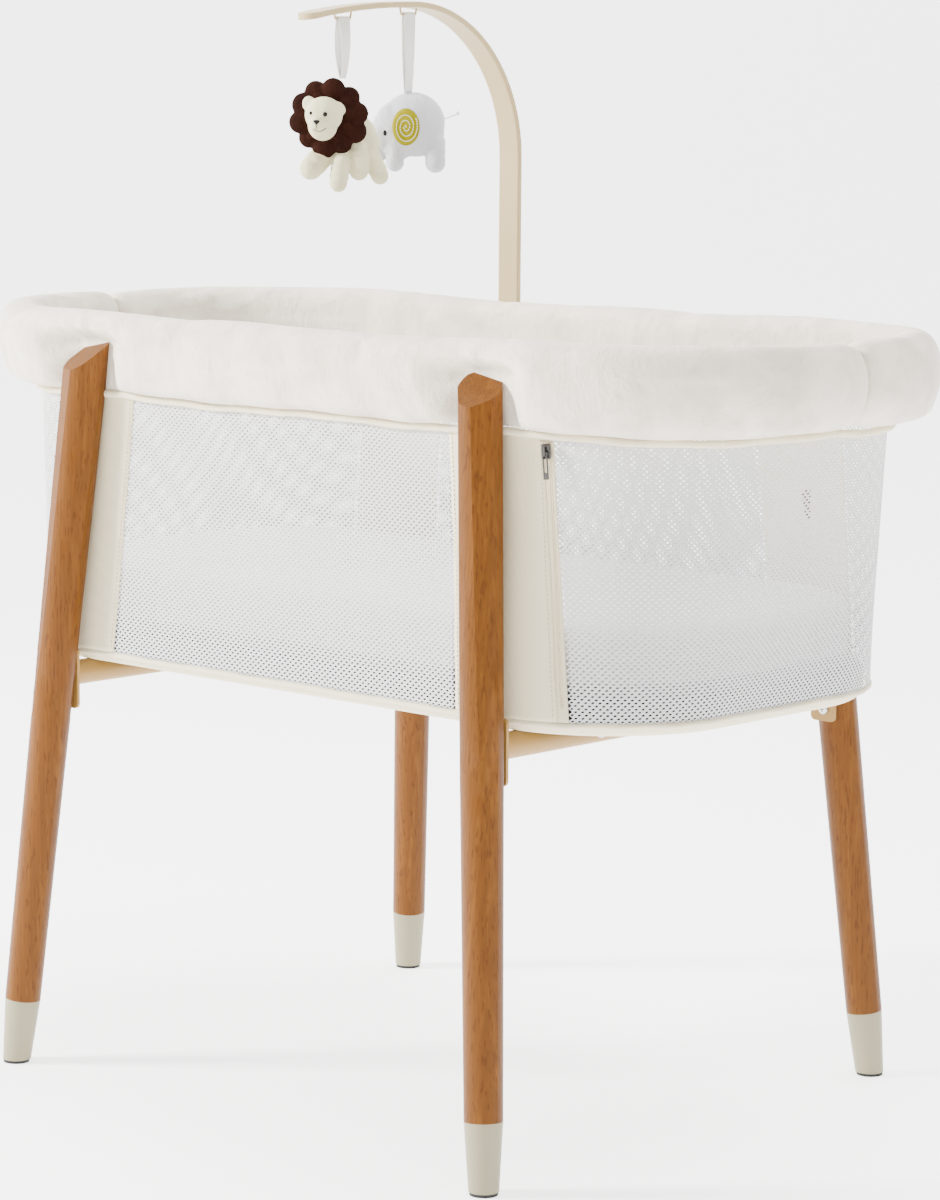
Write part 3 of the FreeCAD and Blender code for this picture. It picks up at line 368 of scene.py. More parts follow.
def load_materials():
    MATERIALS.update(
        wood_front_left=make_wood("beech_front_left", (-0.232, -0.246)),
        wood_front_right=make_wood("beech_front_right", (0.226, -0.244)),
        wood_rear_left=make_wood("beech_rear_left", (-0.278, 0.250)),
        wood_rear_right=make_wood("beech_rear_right", (0.240, 0.262)),
        sleeve=make_moulded("sleeve_plastic", (0.27, 0.24, 0.15, 1), 0.4),
        glide=make_moulded("glide_rubber", grey(0.018), 0.7),
        frame=make_powder("tan_powder_coat", (0.33, 0.19, 0.05, 1)),
        # painted shade: the base ring's rails and bows are near black above 403.5 mm so the net's
        # lowest rows read dark, with a cream band below
        ring=make_woven("ring_painted_shade", (0.018, 0.018, 0.020, 1), 0.0006, 0.1, 0.0002,
                        (0.4035, (0.80, 0.71, 0.50, 1))),
        zinc=make_metal("bright_zinc", grey(0.55), 0.25),
        plug=make_moulded("plug_plastic", grey(0.02), 0.6),
        board=make_moulded("dark_board", (0.012, 0.012, 0.014, 1), 0.75),
        liner=make_woven("liner_cloth", (0.05, 0.05, 0.055, 1)),
        net=make_net(),
        strip=make_woven("strip_cloth", (0.80, 0.70, 0.48, 1)),
        welt=make_woven("welt_cloth", (0.80, 0.71, 0.50, 1), 0.0006),
        plush=make_plush("collar_plush", (0.93, 0.855, 0.73, 1), 0.0012, 0.25, 0.34,
                         (0.86, 0.70, 0.54, 1)),
        # painted shade: the cover turns grey below 436 mm for the shaded lower side of the
        # mattress
        cover=make_woven("mattress_knit", (0.84, 0.84, 0.81, 1), 0.0011, 0.25, 0.0006,
                         (0.436, grey(0.26))),
        tape=make_woven("zip_tape_cloth", (0.70, 0.61, 0.42, 1), 0.0006),
        teeth=make_moulded("nylon_teeth", (0.66, 0.57, 0.38, 1), 0.35),
        nickel=make_metal("dark_nickel", (0.10, 0.095, 0.09, 1), 0.25),
        arm=make_moulded("arm_plastic", (0.46, 0.35, 0.18, 1), 0.38),
        ribbon=make_woven("satin_ribbon", (0.82, 0.81, 0.78, 1), 0.0005, 0.3, 0.0001),
        lion=make_plush("lion_knit", (0.80, 0.74, 0.47, 1), 0.0009, 0.3, 0.1),
        mane=make_plush("mane_pile", (0.024, 0.0056, 0.0024, 1), 0.0011, 0.0, 0.5),
        elephant=make_plush("elephant_pile", (0.66, 0.665, 0.71, 1), 0.0009, 0.3, 0.08),
        ear=make_plush("ear_felt", (0.30, 0.265, 0.0, 1), 0.0008, 0.0, 0.15),
        stitch=make_thread("white_thread", (0.85, 0.85, 0.80, 1)),
        eye=make_moulded("eye_bead", (0.004, 0.003, 0.003, 1), 0.15, 300),
        seam=make_thread("cream_thread", (0.55, 0.47, 0.32, 1)))


def paint_frame():
    """Give the CAD nodes that stay in sight their materials."""
    corners = ("front_left", "front_right", "rear_left", "rear_right")
    finishes = {
        "sleeve": ["foot_sleeve_" + c for c in corners],
        "glide": ["foot_glide_" + c for c in corners],
        "frame": ["leg_bracket_" + c for c in corners] + [
            "cross_tube_left", "cross_tube_right", "stretcher_front", "stretcher_rear",
            "ring_tube_front", "ring_tube_rear"],
        "ring": ["base_rail_front", "base_rail_rear", "base_bow_left", "base_bow_right"],
        "zinc": ["bracket_screws", "stretcher_bolts", "ring_bolts", "socket_screws"],
        "plug": ["stretcher_plugs"], "board": ["base_board"],
        "arm": ["arm_socket", "toy_arm", "lion_hanger", "elephant_hanger"],
        "nickel": ["zip_slider", "zip_pull"]}
    finishes.update({"wood_" + c: ["leg_" + c] for c in corners})
    for material, names in finishes.items():
        for name in names:
            slots = NODES[name].data.materials
            slots.clear()
            slots.append(MATERIALS[material])


# ---- mesh helpers
def smooth_faces(mesh):
    mesh.polygons.foreach_set("use_smooth", [True] * len(mesh.polygons))


def new_object(name, verts, faces, material, body):
    """A mesh object from points in millimetres, riding on a body."""
    mesh = bpy.data.meshes.new(name)
    mesh.from_pydata((np.asarray(verts, float) * MM).tolist(), [],
                     [tuple(map(int, f)) for f in faces])
    mesh.materials.append(MATERIALS[material])
    smooth_faces(mesh)
    obj = bpy.data.objects.new(name, mesh)
    bpy.context.scene.collection.objects.link(obj)
    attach(obj, body)
    return obj


def apply_modifiers(obj):
    """Swap the mesh for its evaluated self."""
    depsgraph = bpy.context.evaluated_depsgraph_get()
    mesh = bpy.data.meshes.new_from_object(obj.evaluated_get(depsgraph))
    obj.modifiers.clear()
    old = obj.data
    obj.data = mesh
    bpy.data.meshes.remove(old)
    return obj


def thicken(obj, thickness, offset):
    """Give a sheet its cloth's thickness, in millimetres."""
    solid = obj.modifiers.new("thickness", "SOLIDIFY")
    solid.thickness = thickness * MM
    solid.offset = offset
    apply_modifiers(obj)


@contextmanager
def edit_mesh(obj):
    """A bmesh of an object, written back at the end."""
    bm = bmesh.new()
    bm.from_mesh(obj.data)
    yield bm
    bm.to_mesh(obj.data)
    bm.free()


def coords(mesh):
    co = np.zeros(len(mesh.vertices) * 3)
    mesh.vertices.foreach_get("co", co)
    return co.reshape(-1, 3)


def set_coords(obj, co):
    obj.data.vertices.foreach_set("co", np.asarray(co, float).ravel())
    obj.data.update()


def grid_faces(rows, columns, wrap=False, closed=False):
    """Quads over a grid of points stored row by row; wrap joins columns, closed joins rows."""
    faces = []
    for i in range(rows if closed else rows - 1):
        here, there = i * columns, (i + 1) % rows * columns
        for j in range(columns if wrap else columns - 1):
            k = (j + 1) % columns
            faces.append((here + j, here + k, there + k, there + j))
    return faces


def outline(a, b, r, length):
    """Points and outward normals on rounded rectangles, by distance from the front middle."""
    a, b, r, length = np.broadcast_arrays(*(np.asarray(v, float) for v in (a, b, r, length)))
    run_x, run_y, bend = a - r, b - r, math.pi * r / 2
    quarter = run_x + bend + run_y
    s = np.mod(length, 4 * quarter)
    part = np.minimum(s // quarter, 3)
    # each quarter is the first one mirrored
    d = np.where(part % 2 == 0, s - part * quarter, (part + 1) * quarter - s)
    side_x, side_y = np.where(part < 2, 1, -1), np.where((part == 0) | (part == 3), -1, 1)
    angle = np.clip((d - run_x) / r, 0, math.pi / 2)
    x = np.clip(d, 0, run_x) + r * np.sin(angle)
    y = run_y + r * np.cos(angle) - np.maximum(d - run_x - bend, 0)
    return side_x * x, side_y * y, side_x * np.sin(angle), side_y * np.cos(angle)


def around(a, b, r):
    return 4 * (a - r + b - r) + 2 * math.pi * r


def ring_points(a, b, r, z, count):
    """Even points round a rounded rectangle at one height."""
    x, y, _nx, _ny = outline(a, b, r, np.arange(count) / count * around(a, b, r))
    return np.stack([x, y, np.full(count, z)], -1)


def along_to(x, a, r):
    """Distance from the front middle to where the outline reaches x, going right."""
    cx = a - r
    bend = r * np.arcsin(np.clip((x - cx) / r, -1, 1))
    return np.where(x <= cx, x, cx + bend)


def wall_sizes(z):
    t = (np.asarray(z, float) - BASE[3]) / (HEM[3] - BASE[3])
    return tuple(BASE[k] + (HEM[k] - BASE[k]) * t for k in range(3))


def wall_span(start, end, u, z):
    """A point's distance round the wall, between two edges that follow the legs."""
    a, b, r = wall_sizes(z)
    total = around(a, b, r)
    ends = []
    for quarter, sign, offset in (start, end):
        ends.append(quarter * total / 2 + sign * along_to(leg_x(z) + offset, a, r))
    return ends[0] + (ends[1] - ends[0]) * u


def wall_points(start, end, u, z, out=0.0):
    """Points on the wall, with the slight slackness of sewn net and cloth."""
    a, b, r = wall_sizes(z)
    s = wall_span(start, end, u, z)
    x, y, nx, ny = outline(a, b, r, s)
    up = np.clip((z - BASE[3]) / (HEM[3] - BASE[3]), 0, 1)
    slack = np.sin(up * math.pi).clip(0, 1) ** 0.7
    ripple = 0.7 * np.sin(s / 61.0 + z / 90.0) + 0.5 * np.sin(s / 23.0 - z / 48.0)
    push = out + slack * (ripple - 1.0)
    z = z + hem_wave(np.mod(s, around(a, b, r)), x, y) * smoothstep(570, 650, z)
    return np.stack([x + nx * push, y + ny * push, z], -1), np.stack([nx, ny, nx * 0], -1)


# edges as (half turns from the front middle, direction, distance past the leg's line)
FR_IN, FR_OUT, FR_ZIP = (0, 1, -STRIP), (0, 1, STRIP), (0, 1, STRIP + ZIP)
FL_IN, FL_OUT = (2, -1, -STRIP), (2, -1, STRIP)
RR_IN, RR_OUT = (1, -1, -STRIP), (1, -1, STRIP)
RL_IN, RL_OUT = (1, 1, -STRIP), (1, 1, STRIP)
FRONT_START = (0, -1, -STRIP)


def build_net(name, start, end):
    """A knitted net panel: staggered cells, each a ring of yarn round a slanted oval hole."""
    low, high = BASE[3] + 0.4, HEM[3] - 3.0
    middle = (low + high) / 2
    width = float(wall_span(start, end, 1.0, middle) - wall_span(start, end, 0.0, middle))
    columns = max(8, round(width / NET_PITCH - 0.5))
    rows = round((high - low) / NET_ROW)
    pitch, step = width / (columns + 0.5), (high - low) / rows
    lean = 0.34  # half the height of a cell's two upright sides
    # corner rows: below and above each row's cells
    corner = np.arange(columns + 1)
    verts, index = [], {}
    for j in range(-1, rows + 1):
        offset = 0.5 * (j % 2)
        for side in (-1, 1):
            height = low + (j + 0.5) * step + side * lean
            index[j, side] = len(verts) * (columns + 1)
            verts.append(np.stack([(corner + offset) * pitch, corner * 0 + height], -1))
    outer = np.concatenate(verts)
    angles = np.radians([208, 238, 270, 302, 332, 28, 58, 90, 122, 152])
    sides, slant = len(angles), 0.45
    half_wide, half_tall = 0.235 * pitch, 0.325 * step
    ring = np.stack([half_wide * np.cos(angles), half_tall * np.sin(angles)], -1)
    ring[:, 0] += slant * ring[:, 1]
    inner, faces = [], []
    total_outer = len(outer)
    wander = rng.normal(0, 0.05, (rows, columns, 2))
    for j in range(rows):
        odd = j % 2
        i = np.arange(columns)
        centre = np.stack([(i + 0.5 + 0.5 * odd) * pitch,
                           np.full(columns, low + (j + 0.5) * step)], -1) + wander[j]
        inner.append((centre[:, None, :] + ring[None]).reshape(-1, 2))
        first = total_outer + (j * columns + i) * sides
        below, above = index[j, -1] + i, index[j, 1] + i
        under = index[j - 1, 1] + i + odd
        over = index[j + 1, -1] + i + odd
        bends = [below, under, below + 1, above + 1, over, above]
        # six quads join the cell's sides to its hole, and four triangles fill its corners
        for k, (one, two) in enumerate(((2, 1), (3, 2), (5, 4), (7, 6), (8, 7), (0, 9))):
            faces.append(np.stack([bends[k], bends[(k + 1) % 6], first + one, first + two], -1))
        for k, one, two in ((0, 1, 0), (2, 4, 3), (3, 6, 5), (5, 9, 8)):
            faces.append(np.stack([bends[k], first + one, first + two, i * 0 - 1], -1))
    flat = np.concatenate([outer] + inner)
    u = np.clip(flat[:, 0] / width, 0, 1)
    z = np.clip(flat[:, 1], low - 2, high + 2)
    points, normals = wall_points(start, end, u, z)
    points[:total_outer] += 0.35 * normals[:total_outer]  # yarn stands proud between holes
    polygons = np.concatenate(faces)
    faces = [f[:3] if f[3] < 0 else f for f in polygons.tolist()]
    obj = new_object(name, points, faces, "net", "basket")
    with edit_mesh(obj) as bm:
        loose = [v for v in bm.verts if not v.link_faces]
        bmesh.ops.delete(bm, geom=loose, context="VERTS")
    return obj


def build_strip(name, start, end, low, high, out, material, pucker):
    """A plain cloth strip with topstitched edges and slight puckers."""
    rows, columns = 70, 26
    u, z = np.meshgrid(np.linspace(0, 1, columns), np.linspace(low, high, rows))
    edge = np.minimum(u, 1 - u)
    swell = 0.9 * smoothstep(0.0, 0.12, edge)
    wave = pucker * np.sin(z / 9.0 + 5 * u) * np.exp(-edge * 16)
    wave += pucker * 0.8 * np.sin(z / 31.0 + 9 * u)
    points, _normals = wall_points(start, end, u.ravel(), z.ravel(),
                                   (out + swell + wave).ravel())
    obj = new_object(name, points, grid_faces(rows, columns), material, "basket")
    thicken(obj, 0.7, -1.0)
    return obj


def stitch_line(name, path, material, body, length=2.6, thick=0.45, gap=1.5):
    """A row of stitches along a path of points, headings and normals, each a bead of thread."""
    steps = np.linalg.norm(np.diff(path[0], axis=0), axis=1)
    travelled = np.concatenate([[0], np.cumsum(steps)])
    count = max(2, int(travelled[-1] / (length + gap)))
    at = (np.arange(count) + 0.5) * travelled[-1] / count
    centre, heading, normal = (np.stack([np.interp(at, travelled, table[:, k])
                                         for k in range(3)], -1) for table in path)
    heading /= np.linalg.norm(heading, axis=1)[:, None]
    normal -= heading * (normal * heading).sum(1)[:, None]
    normal /= np.linalg.norm(normal, axis=1)[:, None]
    side = np.cross(heading, normal)
    ring, flatness = 6, 0.7
    profile = [(-0.5, 0.25), (-0.3, 0.9), (0.0, 1.0), (0.3, 0.9), (0.5, 0.25)]
    bead = []
    for along, size in profile:
        for k in range(ring):
            turn = 2 * math.pi * k / ring
            bead.append(centre + heading * along * length + thick * size * (
                side * math.cos(turn) + flatness * normal * math.sin(turn)))
    verts = np.stack(bead, 1).reshape(-1, 3)
    last = (len(profile) - 1) * ring
    one = grid_faces(len(profile), ring, True)
    one += [tuple(reversed(range(ring))), tuple(range(last, last + ring))]
    faces = [tuple(i * len(bead) + v for v in face) for i in range(count) for face in one]
    return new_object(name, verts, faces, material, body)


def wall_line(start, end, u, low, high, out, count=60):
    z = np.linspace(low, high, count)
    points, normals = wall_points(start, end, np.full(count, u), z, out)
    return points, np.gradient(points, axis=0), normals


def build_walls():
    for side, start, end in (("front", FRONT_START, FR_IN), ("right", FR_ZIP, RR_OUT),
                             ("rear", RR_IN, RL_IN), ("left", RL_OUT, FL_OUT)):
        net = build_net("net_" + side, start, end)
        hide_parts("mesh_panel_" + side)
    low, high = BASE[3] + 0.2, HEM[3] - 2.0
    for corner, start, end in (("front_right", FR_IN, FR_OUT), ("front_left", FL_OUT, FL_IN),
                               ("rear_right", RR_OUT, RR_IN), ("rear_left", RL_IN, RL_OUT)):
        strip = build_strip("strip_" + corner, start, end, low, high, 0.5, "strip", 0.35)
        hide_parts("leg_strip_" + corner)
        for side, u in (("a", 0.035), ("b", 0.965)):
            path = wall_line(start, end, u, low + 4, high - 4, 1.35)
            thread = stitch_line(f"stitch_{corner}_{side}", path, "seam", "basket")
            thread.parent = strip


def build_zip():
    """The zip's tape with its line of coil teeth."""
    low, high = BASE[3] + 12, HEM[3] - 4.0
    tape = build_strip("zip_cloth", FR_OUT, FR_ZIP, BASE[3] + 0.4, high, 0.3, "tape", 0.1)
    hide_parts("zip_tape")
    points, headings, normals = wall_line(FR_OUT, FR_ZIP, 0.5, low, high, 1.35, 120)
    sides = np.cross(headings, normals)
    sides /= np.linalg.norm(sides, axis=1)[:, None]
    for shift, name in ((-0.9, "left"), (0.9, "right")):
        part = stitch_line("zip_teeth_" + name, (points + sides * shift, headings, normals),
                           "teeth", "basket", 1.15, 0.75, 0.35)
        part.parent = tape


def build_welt(name, a, b, r, height, radius, node, wave):
    """A fabric-covered cord all round, with small twists."""
    total = around(a, b, r)
    count, ring = int(total / 4.0), 14
    s = np.arange(count) / count * total
    x, y, nx, ny = outline(a, b, r, s)
    z = height + wave(s, x, y)
    verts = []
    for k in range(ring):
        turn = 2 * math.pi * k / ring
        wrinkle = 1 + 0.05 * np.sin(s / 3.1 + 3 * turn) + 0.04 * np.sin(s / 7.7 - 2 * turn)
        out, up = radius * wrinkle * math.cos(turn), radius * wrinkle * math.sin(turn)
        verts.append(np.stack([x + nx * out, y + ny * out, z + up], -1))
    verts = np.stack(verts, 1).reshape(-1, 3)
    faces = [(f[0], f[3], f[2], f[1]) for f in grid_faces(count, ring, True, True)]
    obj = new_object(name, verts, faces, "welt", "basket")
    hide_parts(node)


def hem_wave(s, x, y):
    """The collar's lower edge rises at the legs and dips between them."""
    near_leg = np.exp(-((np.abs(x) - 257) / 55.0) ** 2)
    at_end = smoothstep(330, 440, np.abs(x))
    return 2.2 * near_leg - 3.2 * at_end * np.exp(-((np.abs(y) - 120) / 90.0) ** 2) \
        + 0.8 * np.sin(s / 37.0) + 0.5 * np.sin(s / 13.0)


# ---- padded collar
PROFILE = (  # half length, half width, corner, height: from the hem, over the crest, and in
    (462, 216, 196, 652.5), (476, 224, 199, 653.5), (492, 233, 205, 661), (500.5, 237, 210, 678),
    (502, 238, 212, 698), (498.5, 235, 208.5, 714), (491, 228, 202, 725), (479, 216, 190, 729.5),
    (467, 203, 178, 727), (459, 195, 170, 718), (456.5, 192.5, 167, 700), (457, 193, 167, 676),
    (457.5, 195, 168, 660), (458, 203, 180, 654))


def closed_curve(points, count):
    """A smooth closed curve through control points, as count even samples."""
    points = np.asarray(points, float)
    n = len(points)
    t = np.linspace(0, n, count * 12, endpoint=False)
    i = t.astype(int)
    f = (t - i)[:, None]
    p0, p1, p2, p3 = (points[(i + k) % n] for k in (-1, 0, 1, 2))
    dense = 0.5 * (2 * p1 + (p2 - p0) * f + (2 * p0 - 5 * p1 + 4 * p2 - p3) * f ** 2
                   + (3 * p1 - p0 - 3 * p2 + p3) * f ** 3)
    steps = np.linalg.norm(np.diff(np.vstack([dense, dense[:1]]), axis=0)[:, [0, 3]], axis=1)
    travelled = np.concatenate([[0], np.cumsum(steps)])
    want = np.linspace(0, travelled[-1], count, endpoint=False)
    return np.stack([np.interp(want, travelled, np.append(dense[:, k], dense[0, k]))
                     for k in range(points.shape[1])], -1)


def dent_legs(points):
    """Press the collar in round each leg top, and let it swell over the leg's end."""
    x, y, z = points.T.copy()
    outward = np.sign(y)
    across = np.abs(np.abs(x) - leg_x(z))
    held = 1 - smoothstep(700, 716, z)
    deep = (1 - smoothstep(LEG_HALF, 64, across)) * held
    over = np.maximum(np.abs(y) - COLLAR_AT_LEG, 0)
    pressed = np.minimum(np.abs(y), COLLAR_AT_LEG) + over * (1 - deep)
    # creases fan out from a point inside each leg's top
    hub_z, hub_across = 690, 6
    angle = np.arctan2(z - hub_z, across - hub_across)
    reach = np.hypot(z - hub_z, across - hub_across)
    fan = np.sin(angle * 6 + 0.10 * reach) * np.exp(-reach / 44.0) * smoothstep(4, 24, reach)
    outer = smoothstep(205, 216, np.abs(y))
    pressed += 3.6 * fan * outer * (across < 130)
    return np.stack([x, outward * pressed, z], -1)


def build_collar(name, side, node):
    """Half of the collar: a closed padded tube, puffed by cloth simulation, sewn at its ends."""
    ring = 52
    section = closed_curve(PROFILE, ring)
    total = around(*section[0, :3])
    count = 236
    share = np.linspace(0, 1, count + 1)
    a, b, r, z = section.T
    x, y, _nx, _ny = outline(a, b, r, around(a, b, r) * (share[:, None] / 2 + side / 4))
    points = np.stack([x, y, np.broadcast_to(z, x.shape)], -1)
    # the two halves meet in a pulled-in seam at each end of the basket
    to_seam = np.minimum(share, 1 - share)[:, None] * total / 2
    centre = points.mean(1, keepdims=True)
    tuck = 0.17 * np.exp(-(to_seam / 5.0) ** 1.1) + 0.05 * np.exp(-to_seam / 30.0)
    points = points + (centre - points) * tuck[..., None]
    s = share[:, None] * total / 2
    lowest = 1 - smoothstep(652, 690, z)
    sway = 0.6 * np.sin(s / 71.0 + 0.7) + 0.4 * np.sin(s / 29.0 + 2.0)
    crest = smoothstep(700, 728, z)
    points[..., 2] += lowest * hem_wave(s * side, x, y) + crest * sway
    flat = dent_legs(points.reshape(-1, 3))
    verts = list(flat)
    faces = grid_faces(count + 1, ring, True)
    # caps: one middle point at each end
    for row, flip in ((0, False), (count, True)):
        verts.append(flat[row * ring:(row + 1) * ring].mean(0))
        hub = len(verts) - 1
        for k in range(ring):
            m = (k + 1) % ring
            tri = (row * ring + k, hub, row * ring + m)
            faces.append(tri[::-1] if flip else tri)
    obj = new_object(name, verts, faces, "plush", "basket")
    with edit_mesh(obj) as bm:
        bmesh.ops.recalc_face_normals(bm, faces=bm.faces)
    # the hem, the dents at the legs, the end seams and the inner side stay where they are
    x, y, z = (coords(obj.data) / MM).T
    hem = 1 - smoothstep(655, 663, z)
    across = np.abs(np.abs(x) - leg_x(z))
    dented = (1 - smoothstep(22, 40, across)) * (np.abs(y) > 205) * (z < 706)
    seam = np.abs(y) < 3.0
    inner = (z < 700) & (np.abs(y) < 198) & (np.abs(x) < 459.5)
    pin = np.maximum.reduce([hem, dented, seam * 1.0, inner * 1.0])
    puff_cloth(obj, pin, pressure=3.0, frames=18, cap=4.5, shrink=-0.006)
    smooth = obj.modifiers.new("smooth", "SUBSURF")
    smooth.levels = 1
    smooth.render_levels = 1
    apply_modifiers(obj)
    co = coords(obj.data) / MM
    # keep clear of the legs after the cloth has moved
    across = np.abs(np.abs(co[:, 0]) - leg_x(co[:, 2]))
    face = COLLAR_AT_LEG + 0.1
    low_part = (co[:, 2] < 697) & (across < LEG_HALF) & (np.abs(co[:, 1]) > face)
    co[low_part, 1] = np.sign(co[low_part, 1]) * face
    set_coords(obj, co * MM)
    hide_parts(node)


def puff_cloth(obj, pin, pressure, frames, cap, shrink):
    """Blow the closed mesh up as cloth, keep the pinned points, and cap the movement."""
    before = coords(obj.data)
    group = obj.vertex_groups.new(name="pin")
    for i in np.nonzero(pin > 0.01)[0]:
        group.add([int(i)], float(pin[i]), "REPLACE")
    cloth = obj.modifiers.new("cloth", "CLOTH")
    settings = dict(quality=6, mass=0.25, tension_stiffness=12, compression_stiffness=12,
                    shear_stiffness=6, bending_stiffness=0.4, use_pressure=True,
                    uniform_pressure_force=pressure, vertex_group_mass="pin",
                    pin_stiffness=3.0, shrink_min=shrink)
    for key, value in settings.items():
        setattr(cloth.settings, key, value)
    cloth.settings.effector_weights.gravity = 0.0
    cloth.collision_settings.use_collision = False
    cloth.point_cache.frame_start = 1
    cloth.point_cache.frame_end = frames
    scene = bpy.context.scene
    for f in range(1, frames + 1):
        scene.frame_set(f)
    depsgraph = bpy.context.evaluated_depsgraph_get()
    after = coords(obj.evaluated_get(depsgraph).to_mesh())
    obj.evaluated_get(depsgraph).to_mesh_clear()
    obj.modifiers.remove(cloth)
    scene.frame_set(1)
    shift = after - before
    size = np.linalg.norm(shift, axis=1)
    limit = cap * MM
    scale = np.where(size > 1e-9, limit * np.tanh(size / limit) / np.maximum(size, 1e-9), 0)
    if not np.isfinite(shift).all():
        return
    set_coords(obj, before + shift * scale[:, None])


def build_mattress():
    """A foam mattress in a knitted cover, crowned, with a taped seam round the middle."""
    low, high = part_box("mattress")
    a, b = high.x / MM, high.y / MM
    r, z0, z1 = 118.0, low.z / MM, high.z / MM
    ring = [(a - 60, b - 60, r - 60, z0), (a - 12, b - 12, r - 12, z0),
            (a - 3, b - 3, r - 3, z0 + 5), (a - 0.5, b - 0.5, r, z0 + 16),
            (a - 1.5, b - 1.5, r - 1, z0 + 30), (a - 0.2, b - 0.2, r, z0 + 33),
            (a - 1.5, b - 1.5, r - 1, z0 + 36), (a - 1, b - 1, r - 1, z1 - 14),
            (a - 5, b - 5, r - 5, z1 - 4), (a - 14, b - 14, r - 14, z1),
            (a - 40, b - 40, r - 40, z1 + 1.5), (a - 75, b - 75, r - 75, z1 + 2.5)]
    count = 200
    verts = np.concatenate([ring_points(*place, count) for place in ring])
    faces = [f[::-1] for f in grid_faces(len(ring), count, True)]
    obj = new_object("mattress_pad", verts, faces, "cover", "mattress")
    with edit_mesh(obj) as bm:
        rims = [e for e in bm.edges if len(e.link_faces) == 1]
        bmesh.ops.holes_fill(bm, edges=rims, sides=0)
        bmesh.ops.triangulate(bm, faces=[f for f in bm.faces if len(f.verts) > 4])
        bmesh.ops.recalc_face_normals(bm, faces=bm.faces)
    smooth_faces(obj.data)
    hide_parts("mattress")


def build_liner():
    """The base board's cloth cover, laid nearly flat."""
    _low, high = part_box("base_liner")
    a, b, corner, z = high.x / MM, high.y / MM, 134.0, high.z / MM
    count = 160
    rings = [ring_points(a - inset, b - inset, max(corner - inset, 8.0), z - drop, count)
             for inset, drop in ((0.0, 1.6), (2.0, 0.2), (40.0, 0.0), (110.0, 0.0), (180.0, 0.0))]
    verts = np.concatenate(rings)
    verts[:, 2] += 0.1 * np.sin(verts[:, 0] / 30) * np.sin(verts[:, 1] / 26)
    faces = grid_faces(len(rings), count, True)
    faces.append(tuple(range((len(rings) - 1) * count, len(rings) * count)))
    obj = new_object("liner_sheet", verts, faces, "liner", "basket")
    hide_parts("base_liner")


# ---- toys
def toy_matrix(y, z):
    return Matrix.Translation(Vector((ARM_X, y, z)) * MM) @ Matrix.Rotation(
        math.radians(43.0), 4, "Z")


def arm_underside(y):
    """Height of the toy arm's lower face, along its long shallow arc."""
    crown_y, crown_z, big = 267.5 - 151.0, 868.0 + 151.0, 747.0
    half_thick = 3.0
    return crown_z - (big - math.sqrt(big * big - max(crown_y - y, 0.0) ** 2)) - half_thick


def ball(centre, radii, turn=(0, 0, 0), segments=28):
    """Vertices and faces of an ellipsoid, in millimetres."""
    rings = segments // 2
    spin = np.array(Matrix.Rotation(math.radians(turn[2]), 3, "Z")
                    @ Matrix.Rotation(math.radians(turn[1]), 3, "Y")
                    @ Matrix.Rotation(math.radians(turn[0]), 3, "X"))
    verts = [(0, 0, -radii[2])]
    for i in range(1, rings):
        lift = -math.pi / 2 + math.pi * i / rings
        for k in range(segments):
            turn_k = 2 * math.pi * k / segments
            verts.append((radii[0] * math.cos(lift) * math.cos(turn_k),
                          radii[1] * math.cos(lift) * math.sin(turn_k),
                          radii[2] * math.sin(lift)))
    verts.append((0, 0, radii[2]))
    faces = [(0, 1 + (k + 1) % segments, 1 + k) for k in range(segments)]
    faces += [tuple(1 + v for v in face) for face in grid_faces(rings - 1, segments, True)]
    last = len(verts) - 1
    start = 1 + (rings - 2) * segments
    faces += [(start + k, start + (k + 1) % segments, last) for k in range(segments)]
    return np.array(verts) @ spin.T + np.array(centre), faces


def balls(name, parts, material, body):
    """Separate ellipsoids in one object."""
    verts, faces = [], []
    for part in parts:
        v, f = ball(*part)
        faces += [tuple(i + len(verts) for i in face) for face in f]
        verts += v.tolist()
    return new_object(name, verts, faces, material, body)


def blob(name, parts, material, body, matrix, voxel=1.3, smooth=8):
    """Ellipsoids merged into one stuffed form."""
    obj = balls(name, parts, material, body)
    remesh = obj.modifiers.new("merge", "REMESH")
    remesh.mode = "VOXEL"
    remesh.voxel_size = voxel * MM
    remesh.use_smooth_shade = True
    relax = obj.modifiers.new("relax", "SMOOTH")
    relax.factor = 0.6
    relax.iterations = smooth
    apply_modifiers(obj)
    obj.data.transform(matrix)
    smooth_faces(obj.data)
    return obj


def pasted(name, parts, material, body, matrix, parent):
    """Small ellipsoids kept as they are, such as eyes and stitches, on another piece."""
    obj = balls(name, parts, material, body)
    obj.data.transform(matrix)
    obj.parent = parent
    return obj


def surface_point(obj, matrix, x, z):
    """Where a straight line from the toy's front meets a piece, in millimetres."""
    start = Vector((x, -60, z))
    direction = (matrix.to_3x3() @ Vector((0, 1, 0))).normalized()
    hit, place, _normal, _face = obj.ray_cast(matrix @ (start * MM), direction)
    return (matrix.inverted() @ place) / MM if hit else start


